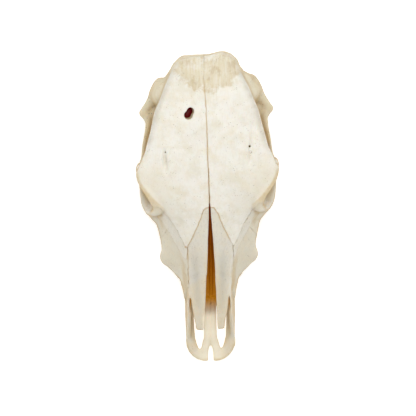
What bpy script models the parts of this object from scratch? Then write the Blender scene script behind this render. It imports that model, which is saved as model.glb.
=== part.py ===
"""Skull of a polled cow without its lower jaw, life size, lying on its cheek teeth.

The nose points to -Y, the poll to +Y and the forehead up, with the floor at z = 0.
Lengths are in millimetres and become metres where a mesh is made. "Left" is the
animal's left, at +X. Paired forms are drawn on the left and mirrored.

The forms of the whole skull are fused, smoothed and hollowed first. Thin cuts
along the sutures then part it into its bones, and the teeth are rooted last.
"""

import math

import bmesh
import bpy
import numpy as np
from mathutils import Euler, Matrix, Vector

MM = 0.001
SUTURE = 0.3
VOXEL = 2.0
SKULL_TRIANGLES = 8800
FLOOR_Z = 0.0

POLL_Y = 229.0
ORBIT_CENTRE = (92.0, 28.0, 118.0)
ORBIT_RADII = (54.0, 28.0, 27.0)
MAGNUM_CENTRE_Z = 63.0

# Midline profile of the nose, forehead and poll, as (y, height).
DORSAL_HEIGHT = [(-190, 76), (-150, 91), (-110, 107), (-74, 121), (-30, 137), (0, 147),
                 (30, 157), (60, 165), (95, 172), (135, 178), (170, 181), (198, 181),
                 (212, 178), (222, 172), (229, 163)]
# Half-width in plan of the frontal roof: brow wedge, orbital rim, temporal line, poll.
ROOF_HALF_WIDTH = [(-56, 34), (-20, 53), (0, 69), (10, 80), (20, 89), (33, 99), (45, 105),
                   (53, 106.5), (62, 103.5), (74, 98.5), (86, 93.5), (104, 88.5), (120, 84.5),
                   (145, 78), (163, 70.5), (182, 63.5), (200, 55), (212, 50), (222, 44), (229, 36)]
ROOF_DROP = [(-56, 20), (-20, 16), (0, 13), (20, 9), (70, 9), (160, 9), (205, 12), (229, 14)]
# How far the outer fifth of the roof rolls down towards its edge.
ROOF_ROLL = [(-56, 0), (60, 0), (110, 4), (170, 6), (229, 4)]
ROOF_ROLL_START = 0.8
ROOF_MIDDLE_THICKNESS = 30.0
ROOF_EDGE_THICKNESS = [(-56, 9), (0, 9), (55, 8), (80, 12), (110, 18), (160, 24), (229, 26)]
ROOF_END_TAPER = [(-56, 1), (200, 1), (229, 0.45)]
MEDIAN_SHIFT = [(-235, 0.0), (-184, 0.6), (-141, 1.8), (-81, 2.9), (-51, 2.8), (9, 2.3), (70, 1.1),
                (131, 0.3), (161, -1.0), (190, -2.9), (229, -1.5)]
# The skull leans to one side: each point moves back by this share of its x.
SKEW = 0.02
LEAN = Matrix(((1, 0, 0, 0), (SKEW, 1, 0, 0), (0, 0, 1, 0), (0, 0, 0, 1)))

BRAINCASE_HALF_WIDTH = [(2, 34), (40, 34), (70, 38), (100, 49), (140, 58), (175, 61), (200, 55),
                        (210, 42)]
BRAINCASE_BASE = [(2, 84), (40, 73), (70, 66), (100, 59), (140, 52), (175, 46), (210, 46)]
BRAINCASE_TOP = [(2, 140), (40, 152), (70, 160), (140, 170), (175, 172), (210, 160)]

# Lines that run along the face, each as (y, half-width) and (y, height) keys.
FACE_LINES = {
    "nasal_edge": ([(-150, 27), (-110, 31), (-74, 35), (-54, 38), (-20, 54), (-8, 65), (0, 72), (22, 78)],
                   [(-150, 78), (-110, 93), (-74, 107), (-54, 115), (-20, 126), (0, 134), (22, 139)]),
    "cheek": ([(-150, 34), (-110, 39), (-74, 49), (-54, 55), (-20, 69), (-8, 78), (0, 84), (22, 87)],
              [(-150, 58), (-110, 68), (-74, 81), (-54, 89), (-20, 101), (0, 110), (22, 114)]),
    "facial_crest": ([(-150, 37.5), (-125, 41.5), (-111, 45.8), (-99, 53.5), (-90, 62), (-81, 69),
                      (-74, 71.5), (-63, 70.5), (-39, 73.5), (-26, 76), (-14, 83), (0, 88), (22, 89)],
                     [(-150, 42), (-110, 49), (-74, 56), (-54, 59), (-20, 70), (0, 80), (22, 84)]),
    "under_crest": ([(-150, 35), (-110, 42), (-90, 52), (-74, 60), (-54, 63), (-20, 66), (0, 68), (22, 64)],
                    [(-150, 34), (-110, 38), (-74, 44), (-54, 46), (-20, 50), (0, 55), (22, 60)]),
    "outer_socket": ([(-150, 33), (-110, 42), (-74, 56), (-54, 61), (-20, 64), (0, 63), (22, 58)],
                     [(-150, 25), (-110, 23), (22, 23)]),
    "inner_socket": ([(-150, 26), (-110, 28), (-74, 33), (-54, 35), (-20, 38), (22, 40)],
                     [(-150, 24), (-110, 23), (22, 23)]),
    "palate_side": ([(-150, 20), (-110, 23), (-54, 30), (22, 34)],
                    [(-150, 27), (-110, 33), (-54, 36), (22, 38)]),
}
PALATE_HEIGHT = [(-150, 28), (-110, 34), (-54, 37), (22, 40)]
FACE_FRONT_Y, FACE_BACK_Y = -150.0, 22.0
FACE_STATIONS = np.linspace(FACE_FRONT_Y, FACE_BACK_Y, 30)
# The back end of the face draws in to a blunt tuber, as (y, share of width and height).
FACE_END = [(22, 1), (28, 0.93), (33, 0.74)]
FACE_END_Z = 84.0
# How far the front end of the face leans back for each unit of height, as (y, slope).
FACE_LEAN = [(-150, 0.62), (-100, 0), (22, 0)]

NOSTRIL_HALF_WIDTH = [(-250, 29), (-150, 29), (-110, 30), (-74, 30), (-40, 29), (-10, 26), (14, 19),
                      (70, 17)]
NOSTRIL_FLOOR = [(-250, 30), (-150, 34), (-110, 40), (-40, 44), (14, 46), (70, 40)]
NOSTRIL_ROOF = [(-250, 72), (-150, 86), (-110, 101), (-74, 114), (-40, 120), (-10, 112), (14, 74),
                (70, 58)]
NASAL_GAP_HALF_WIDTH = [(-195, 12), (-184, 10.8), (-172, 9.8), (-141, 8.2), (-111, 6.7), (-81, 5),
                        (-51, 3.7), (-20, 2.4), (0, 1.6), (8, 0.6)]
NASAL_OUTER_X = [(-187, 21.5), (-172, 23.5), (-158, 26.5), (-141, 29), (-110, 31), (-74, 34), (-40, 30)]
NASAL_THICKNESS = 5.0
NASAL_TIP_Y = -187.0

# Side wall of the nose opening, as heights of its top edge. It leans in as it rises.
NOSE_WALL_TOP = [(-214, 18), (-204, 21), (-194, 29), (-180, 42), (-165, 57), (-150, 69), (-140, 77),
                 (-112, 88)]
NOSE_WALL_FOOT_X = [(-214, 36.2), (-112, 34.1)]
NOSE_WALL_FOOT_Z = 17.0
NOSE_WALL_LEAN = 0.085

# Plan outlines of the incisive bone's body and of the two gaps cut through it.
INCISIVE_BODY = [(37, -202), (36.4, -211), (33.6, -220), (28.5, -227), (20.5, -232.6), (12, -235.4),
                 (5, -235.6), (3.2, -233.5), (3.4, -205), (14, -202)]
INCISIVE_LOW_Z, INCISIVE_HIGH_Z = 11.5, 20.5
PALATINE_FISSURE = [(10.6, -160), (23.5, -160), (23.3, -188), (22.2, -198), (20.2, -207),
                    (16.4, -215.6), (12.8, -208), (11.2, -199), (10.4, -188)]
INCISIVE_NOTCH = [(3.9, -244), (3.9, -224), (3.2, -217), (1.6, -212.5), (-1.6, -212.5), (-3.2, -217),
                  (-3.9, -224), (-3.9, -244)]
INCISIVE_CUT_TOP_Z = 40.0

# Cheek teeth from front to back: name, length along the row, width across it.
CHEEK_TEETH = [("p2", 15, 13), ("p3", 18, 16), ("p4", 19, 19), ("m1", 24, 22), ("m2", 27, 23), ("m3", 28, 22)]
TOOTH_ROW_FRONT_Y = -110.0
TOOTH_ROW_X = [(-110, 36), (-85, 43), (-55, 48), (-20, 50.5), (20, 48)]
TOOTH_GAP = 0.8
TOOTH_ROOT_Z = 34.0
CROWN_LINE_Z = 16.0

BELOW_SKULL_Z, ABOVE_SKULL_Z = -20.0, 260.0
# The two lobes of the hole in the right frontal bone, each a shaft of
# (x, y, z, half-width, half-length) points.
FRONTAL_HOLE = {
    "hole_near_suture": [(-20.5, 145, 196, 5.2, 5.4), (-24.5, 147, 176, 4.4, 5), (-26.5, 148, 167, 4.4, 5)],
    "hole_far_lobe": [(-24.5, 137.5, 196, 6.4, 6.2), (-28.5, 141, 176, 5.2, 5.6), (-30, 143, 167, 5, 5)],
}

# Sutures that part the paired bones, in the order of cutting. Each bone has the outer
# points of its plan outline, the reach of its median suture, and the height and slope
# along y of its lower suture.
SUTURES = {
    "nasal": ([(6.5, -2), (8.5, -4.5), (12.5, -12), (21, -34), (30, -52), (34, -58), (34.5, -83),
               (32.5, -110), (31.2, -122), (31.2, -204)], (-204, -1), 125.4, 0.396),
    "frontal": ([(120, 244), (120, 2.5), (77, 2.5), (66, -7), (52, -28), (36, -61)], (-61, 244), 110.7, 0.12),
    "lacrimal": ([(36, -62), (38, -80), (52, -68), (84, -46), (124, -20), (124, 2.2), (77, 2.2), (66, -7.3),
                  (52, -28.3)], None, 97.0, 0.0),
    "zygomatic": ([(57, -42), (124, -42), (124, 99), (66, 99), (66, 4)], None, 56.0, 0.0),
    "temporal": ([(33.5, 99.5), (124, 99.5), (124, 196), (66, 182), (33.5, 174)], None, BELOW_SKULL_Z, 0.0),
    "incisive": ([(64, -262), (64, -108)], (-108, -262), 257.0, 1.5),
    "maxilla": ([(124, -180), (124, 35)], (35, -180), BELOW_SKULL_Z, 0.0),
}
OCCIPITAL_OUTLINE = [(-130, 262), (-130, 150), (130, 150), (130, 262)]

BONE_ROUGHNESS = 0.62
SHARP_EDGE_DEGREES = 45
BONE_COLOURS = {
    "frontal": (0.86, 0.83, 0.76),
    "nasal": (0.84, 0.80, 0.72),
    "lacrimal": (0.83, 0.79, 0.69),
    "zygomatic": (0.80, 0.74, 0.60),
    "temporal": (0.76, 0.68, 0.50),
    "maxilla": (0.82, 0.77, 0.66),
    "incisive": (0.80, 0.73, 0.58),
    "occipital": (0.77, 0.70, 0.53),
    "sphenoid": (0.72, 0.62, 0.42),
}


def along(keys, y):
    """Value at y of the smooth curve through (y, value) keys, which never overshoots them."""
    places, values = np.array(keys, float).T
    step = np.diff(places)
    slope = np.diff(values) / step
    tangent = np.concatenate([slope[:1], np.zeros(len(slope) - 1), slope[-1:]])
    before, after = slope[:-1], slope[1:]
    rising = before * after > 0
    tangent[1:-1][rising] = (2 * before * after)[rising] / (before + after)[rising]
    y = np.clip(y, places[0], places[-1])
    i = np.clip(np.searchsorted(places, y) - 1, 0, len(step) - 1)
    t = (y - places[i]) / step[i]
    return ((1 + 2 * t) * (1 - t) ** 2 * values[i] + t * (1 - t) ** 2 * step[i] * tangent[i]
            + t * t * (3 - 2 * t) * values[i + 1] + t * t * (t - 1) * step[i] * tangent[i + 1])


def through(points, count):
    """Points evenly spread along the smooth curve through the given points, one row each."""
    points = np.array(points, float)
    where = np.concatenate([[0], np.cumsum(np.linalg.norm(np.diff(points[:, :3], axis=0), axis=1))])
    spread = np.linspace(0, where[-1], count)
    return np.stack([along(np.stack([where, column], 1), spread) for column in points.T], 1)


def new_object(name, mesh, collection):
    obj = bpy.data.objects.new(name, mesh)
    collection.objects.link(obj)
    return obj


def loft(name, rings, collection):
    """Closed solid through rings of equal point counts, with its first and last ring filled."""
    mesh = bpy.data.meshes.new(name)
    bm = bmesh.new()
    rows = [[bm.verts.new(Vector(point) * MM) for point in ring] for ring in rings]
    for near, far in zip(rows, rows[1:]):
        for i in range(len(near)):
            j = (i + 1) % len(near)
            bm.faces.new((near[i], near[j], far[j], far[i]))
    bm.faces.new(rows[0][::-1])
    bm.faces.new(rows[-1])
    bmesh.ops.triangulate(bm, faces=[face for face in bm.faces if len(face.verts) > 4])
    bmesh.ops.recalc_face_normals(bm, faces=bm.faces)
    bm.to_mesh(mesh)
    bm.free()
    return new_object(name, mesh, collection)


def oval(centre, side, up, half_width, half_height, sides=16):
    """Ring of points on an ellipse spanned by two directions."""
    turns = np.arange(sides) * 2 * math.pi / sides
    return [centre + math.cos(a) * half_width * side + math.sin(a) * half_height * up for a in turns]


def bar(name, path, collection, upright=(0, 0, 1), closed=False):
    """Bone strut along a path of (x, y, z, half_width, half_height) points.

    The half-height lies along the upright direction and the half-width across it.
    """
    count = 4 * len(path)
    samples = through(list(path) + [path[0]] if closed else path, count)
    centres = samples[:, :3]
    tangents = np.gradient(centres, axis=0)
    if closed:
        tangents[0] = tangents[-1] = centres[1] - centres[-2]
    rings = []
    for centre, tangent, (half_width, half_height) in zip(centres, tangents, samples[:, 3:]):
        side = np.cross(upright, tangent)
        side /= np.linalg.norm(side)
        up = np.cross(tangent, side)
        up /= np.linalg.norm(up)
        rings.append(oval(centre, side, up, half_width, half_height))
    return loft(name, rings, collection)


def ellipsoid(name, centre, radii, collection, turn=(0, 0, 0)):
    """Stretched UV sphere, turned by Euler angles in degrees."""
    mesh = bpy.data.meshes.new(name)
    bm = bmesh.new()
    turned = Euler([math.radians(angle) for angle in turn]).to_matrix().to_4x4()
    place = Matrix.Translation(Vector(centre) * MM) @ turned @ Matrix.Diagonal((*(Vector(radii) * MM), 1))
    bmesh.ops.create_uvsphere(bm, u_segments=24, v_segments=14, radius=1, matrix=place)
    bm.to_mesh(mesh)
    bm.free()
    return new_object(name, mesh, collection)


def prism(name, outline, low, high, collection):
    """Upright prism over a plan outline, from height low(y) to height high."""
    bottom = [(x, y, low(y)) for x, y in outline]
    top = [(x, y, high) for x, y in outline]
    return loft(name, [bottom, top], collection)


def side_plate(name, outline, inner_x, outer_x, collection):
    """Plate standing lengthwise, from an outline of (y, z) points, between two x places."""
    return loft(name, [[(x, y, z) for y, z in outline] for x in (inner_x, outer_x)], collection)


def mirrored(obj):
    """Copy of a left-hand form on the right."""
    mesh = obj.data.copy()
    mesh.transform(Matrix.Scale(-1, 4, (1, 0, 0)))
    mesh.flip_normals()
    return new_object(obj.name + "_mirrored", mesh, obj.users_collection[0])


def applied(obj):
    """Replaces an object's mesh by its evaluated one, and drops its modifiers."""
    bpy.context.view_layer.update()
    evaluated = obj.evaluated_get(bpy.context.evaluated_depsgraph_get())
    mesh = bpy.data.meshes.new_from_object(evaluated)
    obj.modifiers.clear()
    obj.data = mesh
    return obj


def boolean(obj, operation, other):
    """Applies one Boolean with another object or with a collection of objects.

    EXACT takes minutes on dozens of overlapping forms, and leaves open edges where a cut
    grazes the thinned mesh, so the solver is MANIFOLD.
    """
    modifier = obj.modifiers.new(operation.lower(), "BOOLEAN")
    modifier.operation = operation
    modifier.solver = "MANIFOLD"
    if isinstance(other, bpy.types.Collection):
        modifier.operand_type = "COLLECTION"
        modifier.collection = other
    else:
        modifier.object = other
    return applied(obj)


def keep_largest(obj):
    """Leaves only the largest closed surface of an object, without the scraps of a cut."""
    bm = bmesh.new()
    bm.from_mesh(obj.data)
    left, shells = set(bm.faces), []
    while left:
        shell, edge = set(), {left.pop()}
        while edge:
            shell |= edge
            edge = {near for face in edge for side in face.edges for near in side.link_faces} - shell
        left -= shell
        shells.append(shell)
    largest = max(shells, key=lambda shell: sum(face.calc_area() for face in shell))
    bmesh.ops.delete(bm, geom=[face for face in bm.faces if face not in largest], context="FACES")
    bm.to_mesh(obj.data)
    bm.free()
    return obj


def remove_all(collection):
    for obj in list(collection.objects):
        bpy.data.objects.remove(obj)
    bpy.data.collections.remove(collection)


def section(half, count):
    """Closed ring in x and z from half an outline, which runs from the top of the midline to its foot."""
    half = through(half, count)
    other = half[-2:0:-1] * (-1, 1)
    return np.concatenate([half, other])


def frontal_roof(forms):
    """Forehead: a thick plate whose edges are the brow wedge, orbital rims, temporal lines and poll."""
    across = np.linspace(-1, 1, 25)
    rings = []
    for y in np.concatenate([np.linspace(-56, 200, 41), np.linspace(205, POLL_Y, 7)]):
        half_width = along(ROOF_HALF_WIDTH, y)
        top = along(DORSAL_HEIGHT, y) - along(ROOF_DROP, y) * np.abs(across) ** 2.6
        edge_share = np.clip((np.abs(across) - ROOF_ROLL_START) / (1 - ROOF_ROLL_START), 0, 1)
        top -= along(ROOF_ROLL, y) * edge_share ** 2
        edge = along(ROOF_EDGE_THICKNESS, y)
        thickness = edge + (ROOF_MIDDLE_THICKNESS - edge) * np.clip(1.5 - 2.2 * np.abs(across), 0, 1)
        thickness *= along(ROOF_END_TAPER, y)
        upper = [(x * half_width, y, z) for x, z in zip(across, top)]
        lower = [(x * half_width * 0.985, y, z - t) for x, z, t in zip(across, top, thickness)]
        rings.append(upper + lower[::-1])
    loft("frontal_roof", rings, forms)
    ellipsoid("poll_ridge", (0, 205, 154), (50, 22, 27), forms)
    ellipsoid("poll_boss", (26, 217, 158), (20, 16, 19), forms)


def braincase(forms):
    """Oval case under the roof, from the inner walls of the orbits to the nape."""
    turns = np.arange(32) * 2 * math.pi / 32
    rings = []
    for y in np.linspace(2, 210, 30):
        base, top = along(BRAINCASE_BASE, y), along(BRAINCASE_TOP, y)
        half_width = along(BRAINCASE_HALF_WIDTH, y)
        cosine, sine = np.cos(turns), np.sin(turns)
        taper = np.where(sine < 0, 1 + 0.42 * sine, 1)
        x = np.sign(cosine) * np.abs(cosine) ** 0.8 * half_width * taper
        z = (base + top) / 2 + np.sign(sine) * np.abs(sine) ** 0.8 * (top - base) / 2
        rings.append([(px, y, pz) for px, pz in zip(x, z)])
    loft("braincase", rings, forms)


def face(forms):
    """Upper jaw block, lofted through the lines of the nose, cheek, facial crest and tooth sockets."""
    rings = []
    for y in FACE_STATIONS:
        top = along(DORSAL_HEIGHT, y)
        half = [(0.0, top), (along(FACE_LINES["nasal_edge"][0], y) * 0.6, top - 3)]
        half += [(along(widths, y), along(heights, y)) for widths, heights in FACE_LINES.values()]
        half.append((0.0, along(PALATE_HEIGHT, y)))
        lean = along(FACE_LEAN, y)
        rings.append([(x, y + lean * max(z - 30, 0), z) for x, z in section(half, 26)])
    for y, share in FACE_END[1:]:
        last = rings[len(FACE_STATIONS) - 1]
        rings.append([(x * share, y, FACE_END_Z + (z - FACE_END_Z) * share) for x, _, z in last])
    loft("face", rings, forms)


def nasal_cavity(cutters):
    """Airway from the nose opening to the choanae behind the palate."""
    turns = np.arange(24) * 2 * math.pi / 24
    rings = []
    for y in np.linspace(-250, 70, 33):
        low, high = along(NOSTRIL_FLOOR, y), along(NOSTRIL_ROOF, y)
        x = np.sign(np.cos(turns)) * np.abs(np.cos(turns)) ** 0.7 * along(NOSTRIL_HALF_WIDTH, y)
        z = (low + high) / 2 + np.sign(np.sin(turns)) * np.abs(np.sin(turns)) ** 0.7 * (high - low) / 2
        taper = 1 - 0.35 * np.clip(np.sin(turns), 0, 1)
        rings.append([(px, y, pz) for px, pz in zip(x * taper, z)])
    return loft("nasal_cavity", rings, cutters)


def nasal_bones(forms):
    """Two roof plates of the nose, arched down at their outer edges, ending in free tips."""
    across = np.linspace(0, 1, 7)
    rings = []
    for y in np.linspace(NASAL_TIP_Y, -40, 20):
        inner = along(NASAL_GAP_HALF_WIDTH, y) * 0.7
        outer = along(NASAL_OUTER_X, y)
        x = inner + (outer - inner) * across
        top = along(DORSAL_HEIGHT, y) - 13 * (x / max(outer, 30)) ** 2.2
        upper = [(px, y, pz) for px, pz in zip(x, top)]
        lower = [(px, y, pz - NASAL_THICKNESS) for px, pz in zip(x, top)]
        rings.append(upper + lower[::-1])
    mirrored(loft("nasal_plate", rings, forms))


def incisive_bones(forms):
    """Flat front of the upper jaw: two side arms, two palatine processes and their joined tips."""
    arm = [(31, -138, 29, 6, 7), (31, -160, 25, 6.3, 6), (30.6, -185, 20, 6.6, 5.5), (30, -205, 17, 7.2, 5),
           (27, -215, 16, 8, 5)]
    process = [(4.9, -140, 34, 4.7, 5), (4.9, -165, 27.5, 4.7, 4.8), (4.9, -190, 21, 4.8, 4.6),
               (5.2, -206, 18, 5.2, 4.6), (9, -218, 16.5, 6, 4.8)]
    mirrored(bar("incisive_arm", arm, forms))
    mirrored(bar("palatine_process", process, forms))
    mirrored(prism("incisive_body", INCISIVE_BODY, lambda y: INCISIVE_LOW_Z, INCISIVE_HIGH_Z, forms))
    rings = []
    for y in np.linspace(NOSE_WALL_TOP[0][0], NOSE_WALL_TOP[-1][0], 16):
        foot_x, top = along(NOSE_WALL_FOOT_X, y), along(NOSE_WALL_TOP, y)
        top_x = foot_x - NOSE_WALL_LEAN * (top - NOSE_WALL_FOOT_Z)
        rings.append([(foot_x - 3.4, y, NOSE_WALL_FOOT_Z), (foot_x + 3.4, y, NOSE_WALL_FOOT_Z),
                      (top_x + 2.6, y, top), (top_x - 2.6, y, top)])
    mirrored(loft("nose_wall", rings, forms))


def orbit_and_cheek(forms):
    """Ring of the eye socket, cheek bone below it and the ridge that runs forward to the facial tuber."""
    rim = [(88, -4, 98, 6, 7), (80, -7, 114, 6, 8), (75, 0, 131, 6, 8), (84, 15, 142, 4.5, 6),
           (94, 31, 146, 4, 6), (100, 46, 147, 5, 6), (101, 60, 139, 6.5, 7.5), (98, 66, 118, 5.5, 8),
           (97, 61, 99, 6.5, 7.5),
           (97, 44, 88, 6, 6), (95.5, 26, 85, 6, 6), (93, 10, 87, 6, 6.5)]
    mirrored(bar("orbital_rim", rim, forms, upright=(1, 0, 0.05), closed=True))
    cheek = [(60, -60, 60, 7, 7), (66, -40, 63, 7, 8), (72, -22, 69, 7, 11), (81, -9, 76, 8, 15),
             (89, 0, 79, 8, 16), (94.5, 12, 79, 7.5, 14), (96.5, 28, 78, 6.8, 13), (97.5, 44, 79, 6.4, 12),
             (97.5, 58, 82, 5.2, 10.5), (96.5, 70, 83, 4.8, 9)]
    mirrored(bar("cheek_bone", cheek, forms))
    mirrored(ellipsoid("facial_tuber", (61, -74, 55), (10.5, 12, 8), forms))


def arch_and_joint(forms):
    """Cheek arch, the shelf that roofs the jaw joint and the crest from it to the nape."""
    arch = [(97, 60, 81, 4.8, 9.5), (96, 72, 83, 4.2, 9), (94.5, 84, 85, 3.8, 8.5), (93, 97, 88, 3.6, 8.5),
            (91, 108, 90, 3.6, 8.5), (88.5, 120, 91.5, 4.2, 8.5), (87.5, 130, 91, 5, 8), (90, 140, 89, 7, 7)]
    mirrored(bar("cheek_arch", arch, forms, upright=(0.4, 0, 1)))
    shelf = [(44, 150, 88, 22, 14), (60, 149, 89, 20, 9), (76, 147, 88, 16, 7), (86, 146, 87, 11, 7),
             (95, 145, 88, 4.5, 5)]
    mirrored(bar("joint_shelf", shelf, forms))
    peg = [(62, 164, 84, 9, 5), (64, 162, 68, 6, 4)]
    mirrored(bar("retroarticular_process", peg, forms, upright=(0, 1, 0)))
    crest = [(96, 146, 90, 5, 6), (88, 156, 93, 6.5, 7), (81, 167, 97, 7, 8), (76, 178, 102, 7, 9),
             (70, 190, 108, 7, 10)]
    mirrored(bar("temporal_crest", crest, forms))
    mirrored(ellipsoid("arch_nub", (95, 145, 88), (5.5, 4.6, 5.5), forms))
    mirrored(ellipsoid("mastoid", (56, 173, 100), (31, 25, 47), forms))
    mirrored(bar("ear_tube", [(46, 162, 74, 9, 9), (62, 168, 76, 8.5, 8.5), (75, 171, 79, 8, 8)], forms))
    mirrored(ellipsoid("tympanic_bulla", (43, 156, 46), (9.5, 15, 15), forms, turn=(0, 0, -12)))
    process = [(44, 147, 42, 5, 5), (42, 138, 28, 3.4, 3.4), (41, 133, 20, 2.2, 2.2)]
    mirrored(bar("muscular_process", process, forms, upright=(1, 0, 0)))


def nape(forms):
    """Nuchal plate with its lateral shoulders, the condyles, the jugular processes and the skull base."""
    half_widths = [(38, 40), (52, 54), (68, 66), (86, 77), (100, 78), (116, 70), (136, 57), (155, 46),
                   (172, 39)]
    middle_y = [(38, 197), (60, 200), (90, 201), (120, 204), (140, 211), (160, 219), (172, 221)]
    forward = [(38, 8), (74, 14), (92, 18), (108, 17), (138, 10), (172, 5)]
    thickness = [(38, 14), (90, 14), (140, 24), (172, 30)]
    rings = []
    for z in np.linspace(38, 172, 19):
        across = np.linspace(-1, 1, 17)
        back = along(middle_y, z) + 6 - along(forward, z) * np.abs(across) ** 1.8
        x = across * along(half_widths, z)
        front = back - along(thickness, z)
        rings.append([(px, py, z) for px, py in zip(x, back)]
                     + [(px, py, z) for px, py in zip(x[::-1], front[::-1])])
    loft("nuchal_plate", rings, forms)
    ellipsoid("nuchal_tuber", (0, 208, 128), (11, 9, 12), forms)
    mirrored(ellipsoid("condyle", (30, 206, 52), (17.5, 17, 21), forms, turn=(0, -22, 18)))
    process = [(52, 190, 62, 11, 17), (54, 191, 44, 9, 15), (51, 191, 26, 7, 12), (46, 190, 10, 5.6, 9),
               (43.5, 189, -6, 4.6, 7)]
    mirrored(bar("jugular_process", process, forms, upright=(0, 1, 0)))
    base = [(0, 212, 46, 20, 9), (0, 190, 45, 20, 10), (0, 165, 44, 18, 10), (0, 135, 49, 14, 11),
            (0, 100, 57, 12, 11), (0, 60, 67, 12, 12)]
    bar("skull_base", base, forms)
    mirrored(ellipsoid("muscular_tubercle", (11, 158, 37), (8, 11, 6), forms))
    wing = [(2, 60), (6, 40), (14, 30), (30, 26), (48, 25), (64, 19), (71, 18), (76, 27), (84, 42), (96, 58),
            (104, 72), (104, 82), (2, 82)]
    mirrored(side_plate("pterygoid_wing", wing, 17.5, 23.5, forms))


def hollows(cutters):
    """Everything that is cut out of the fused skull."""
    mirrored(ellipsoid("orbit", ORBIT_CENTRE, ORBIT_RADII, cutters, turn=(0, 0, -6)))
    gap = np.linspace(-200, 8, 16)
    shift = along(MEDIAN_SHIFT, gap)
    half = along(NASAL_GAP_HALF_WIDTH, gap)
    outline = list(zip(shift + half, gap)) + list(zip((shift - half)[::-1], gap[::-1]))
    prism("nasal_gap", outline, lambda y: 66, 200, cutters)
    slit = [(24.5, -180), (28.5, -180), (31, -150), (30.2, -138), (29.4, -138)]
    mirrored(prism("nose_slit", slit, lambda y: 60, 110, cutters))
    ellipsoid("brain_hollow", (0, 160, 112), (37, 45, 34), cutters)
    magnum = [(0, 232, MAGNUM_CENTRE_Z, 17, 16), (0, 196, MAGNUM_CENTRE_Z + 4, 17, 17), (0, 170, 90, 22, 22)]
    bar("foramen_magnum", magnum, cutters)
    for name, lobe in FRONTAL_HOLE.items():
        bar(name, lobe, cutters, upright=(0, 1, 0))
    mirrored(bar("ear_hole", [(86, 174, 81, 4, 4), (60, 168, 76, 4, 4)], cutters))
    foramen = [(56, -126, 47, 3.4, 4.4), (44, -109, 49, 3.2, 4), (38, -92, 52, 3, 3.5)]
    mirrored(bar("infraorbital_foramen", foramen, cutters))
    mirrored(prism("palatine_fissure", PALATINE_FISSURE, lambda y: FLOOR_Z, INCISIVE_CUT_TOP_Z, cutters))
    prism("incisive_notch", INCISIVE_NOTCH, lambda y: FLOOR_Z, INCISIVE_CUT_TOP_Z, cutters)


def whole_skull():
    """One closed, smoothed and hollowed mesh of the complete skull, still without teeth."""
    scene = bpy.context.scene.collection
    forms = bpy.data.collections.new("forms")
    cutters = bpy.data.collections.new("hollows")
    airway = bpy.data.collections.new("airway")
    for collection in (forms, cutters, airway):
        scene.children.link(collection)
    face(forms)
    skull = bpy.data.objects["face"]
    frontal_roof(forms)
    braincase(forms)
    orbit_and_cheek(forms)
    arch_and_joint(forms)
    nape(forms)
    forms.objects.unlink(skull)
    scene.objects.link(skull)
    boolean(skull, "UNION", forms)
    boolean(skull, "DIFFERENCE", nasal_cavity(airway))
    remove_all(forms)
    plates = bpy.data.collections.new("plates")
    scene.children.link(plates)
    nasal_bones(plates)
    incisive_bones(plates)
    boolean(skull, "UNION", plates)
    hollows(cutters)
    boolean(skull, "DIFFERENCE", cutters)
    for collection in (airway, plates, cutters):
        remove_all(collection)
    remesh = skull.modifiers.new("fuse", "REMESH")
    remesh.mode = "VOXEL"
    remesh.voxel_size = VOXEL * MM
    smooth = skull.modifiers.new("soften", "SMOOTH")
    smooth.factor = 0.5
    smooth.iterations = 4
    applied(skull)
    keep_largest(skull)
    skull.data.transform(LEAN)
    thin = skull.modifiers.new("thin_out", "DECIMATE")
    thin.ratio = SKULL_TRIANGLES / sum(len(face.vertices) - 2 for face in skull.data.polygons)
    applied(skull)
    skull.name = "skull"
    floor = bpy.data.collections.new("floor")
    scene.children.link(floor)
    plan = [(-150, -300), (150, -300), (150, 300), (-150, 300)]
    boolean(skull, "DIFFERENCE", prism("below_floor", plan, lambda y: BELOW_SKULL_Z, FLOOR_Z, floor))
    remove_all(floor)
    return skull


def grown(outline, by):
    """Closed plan outline with each of its edges moved out by a distance."""
    points = np.array(outline, float)
    ahead = np.roll(points, -1, axis=0) - points
    if np.sum(points[:, 0] * np.roll(points[:, 1], -1) - np.roll(points[:, 0], -1) * points[:, 1]) < 0:
        return grown(points[::-1], by)
    normal = np.stack([ahead[:, 1], -ahead[:, 0]], 1) / np.linalg.norm(ahead, axis=1)[:, None]
    before = np.roll(normal, 1, axis=0)
    return points + by * (normal + before) / (1 + np.sum(normal * before, axis=1))[:, None]


def bone_outline(outer, side, median=None):
    """Plan outline of a bone on one side, closed along the median suture where it meets its twin."""
    outline = [(side * x, y) for x, y in outer]
    if median:
        for y in np.linspace(*median, 9):
            outline.append((along(MEDIAN_SHIFT, y) + side * SUTURE / 2, y))
    return outline


def part_bone(rest, name, outline, low, slope=0.0):
    """Parts one bone from the rest of the skull along upright sutures and a floor at low + slope * y."""
    work = bpy.data.collections.new("work")
    bpy.context.scene.collection.children.link(work)
    bone = new_object(name, rest.data.copy(), bpy.context.scene.collection)
    boolean(bone, "INTERSECT", prism("inside", outline, lambda y: low + slope * y, ABOVE_SKULL_Z, work))
    drop = SUTURE * math.hypot(1, slope)
    top = ABOVE_SKULL_Z + SUTURE
    outer = prism("around", grown(outline, SUTURE), lambda y: low - drop + slope * y, top, work)
    boolean(rest, "DIFFERENCE", outer)
    remove_all(work)
    return keep_largest(bone)


def part_bones(skull):
    """Every bone of the skull as its own object, by name."""
    bones = {}
    for word, side in (("left", 1), ("right", -1)):
        for name, (outer, median, low, slope) in SUTURES.items():
            outline = bone_outline(outer, side, median)
            bones[f"{name}_{word}"] = part_bone(skull, f"{name}_{word}", outline, low, slope)
    bones["occipital"] = part_bone(skull, "occipital", OCCIPITAL_OUTLINE, BELOW_SKULL_Z)
    skull.name = "sphenoid"
    bones["sphenoid"] = keep_largest(skull)
    return bones


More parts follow.
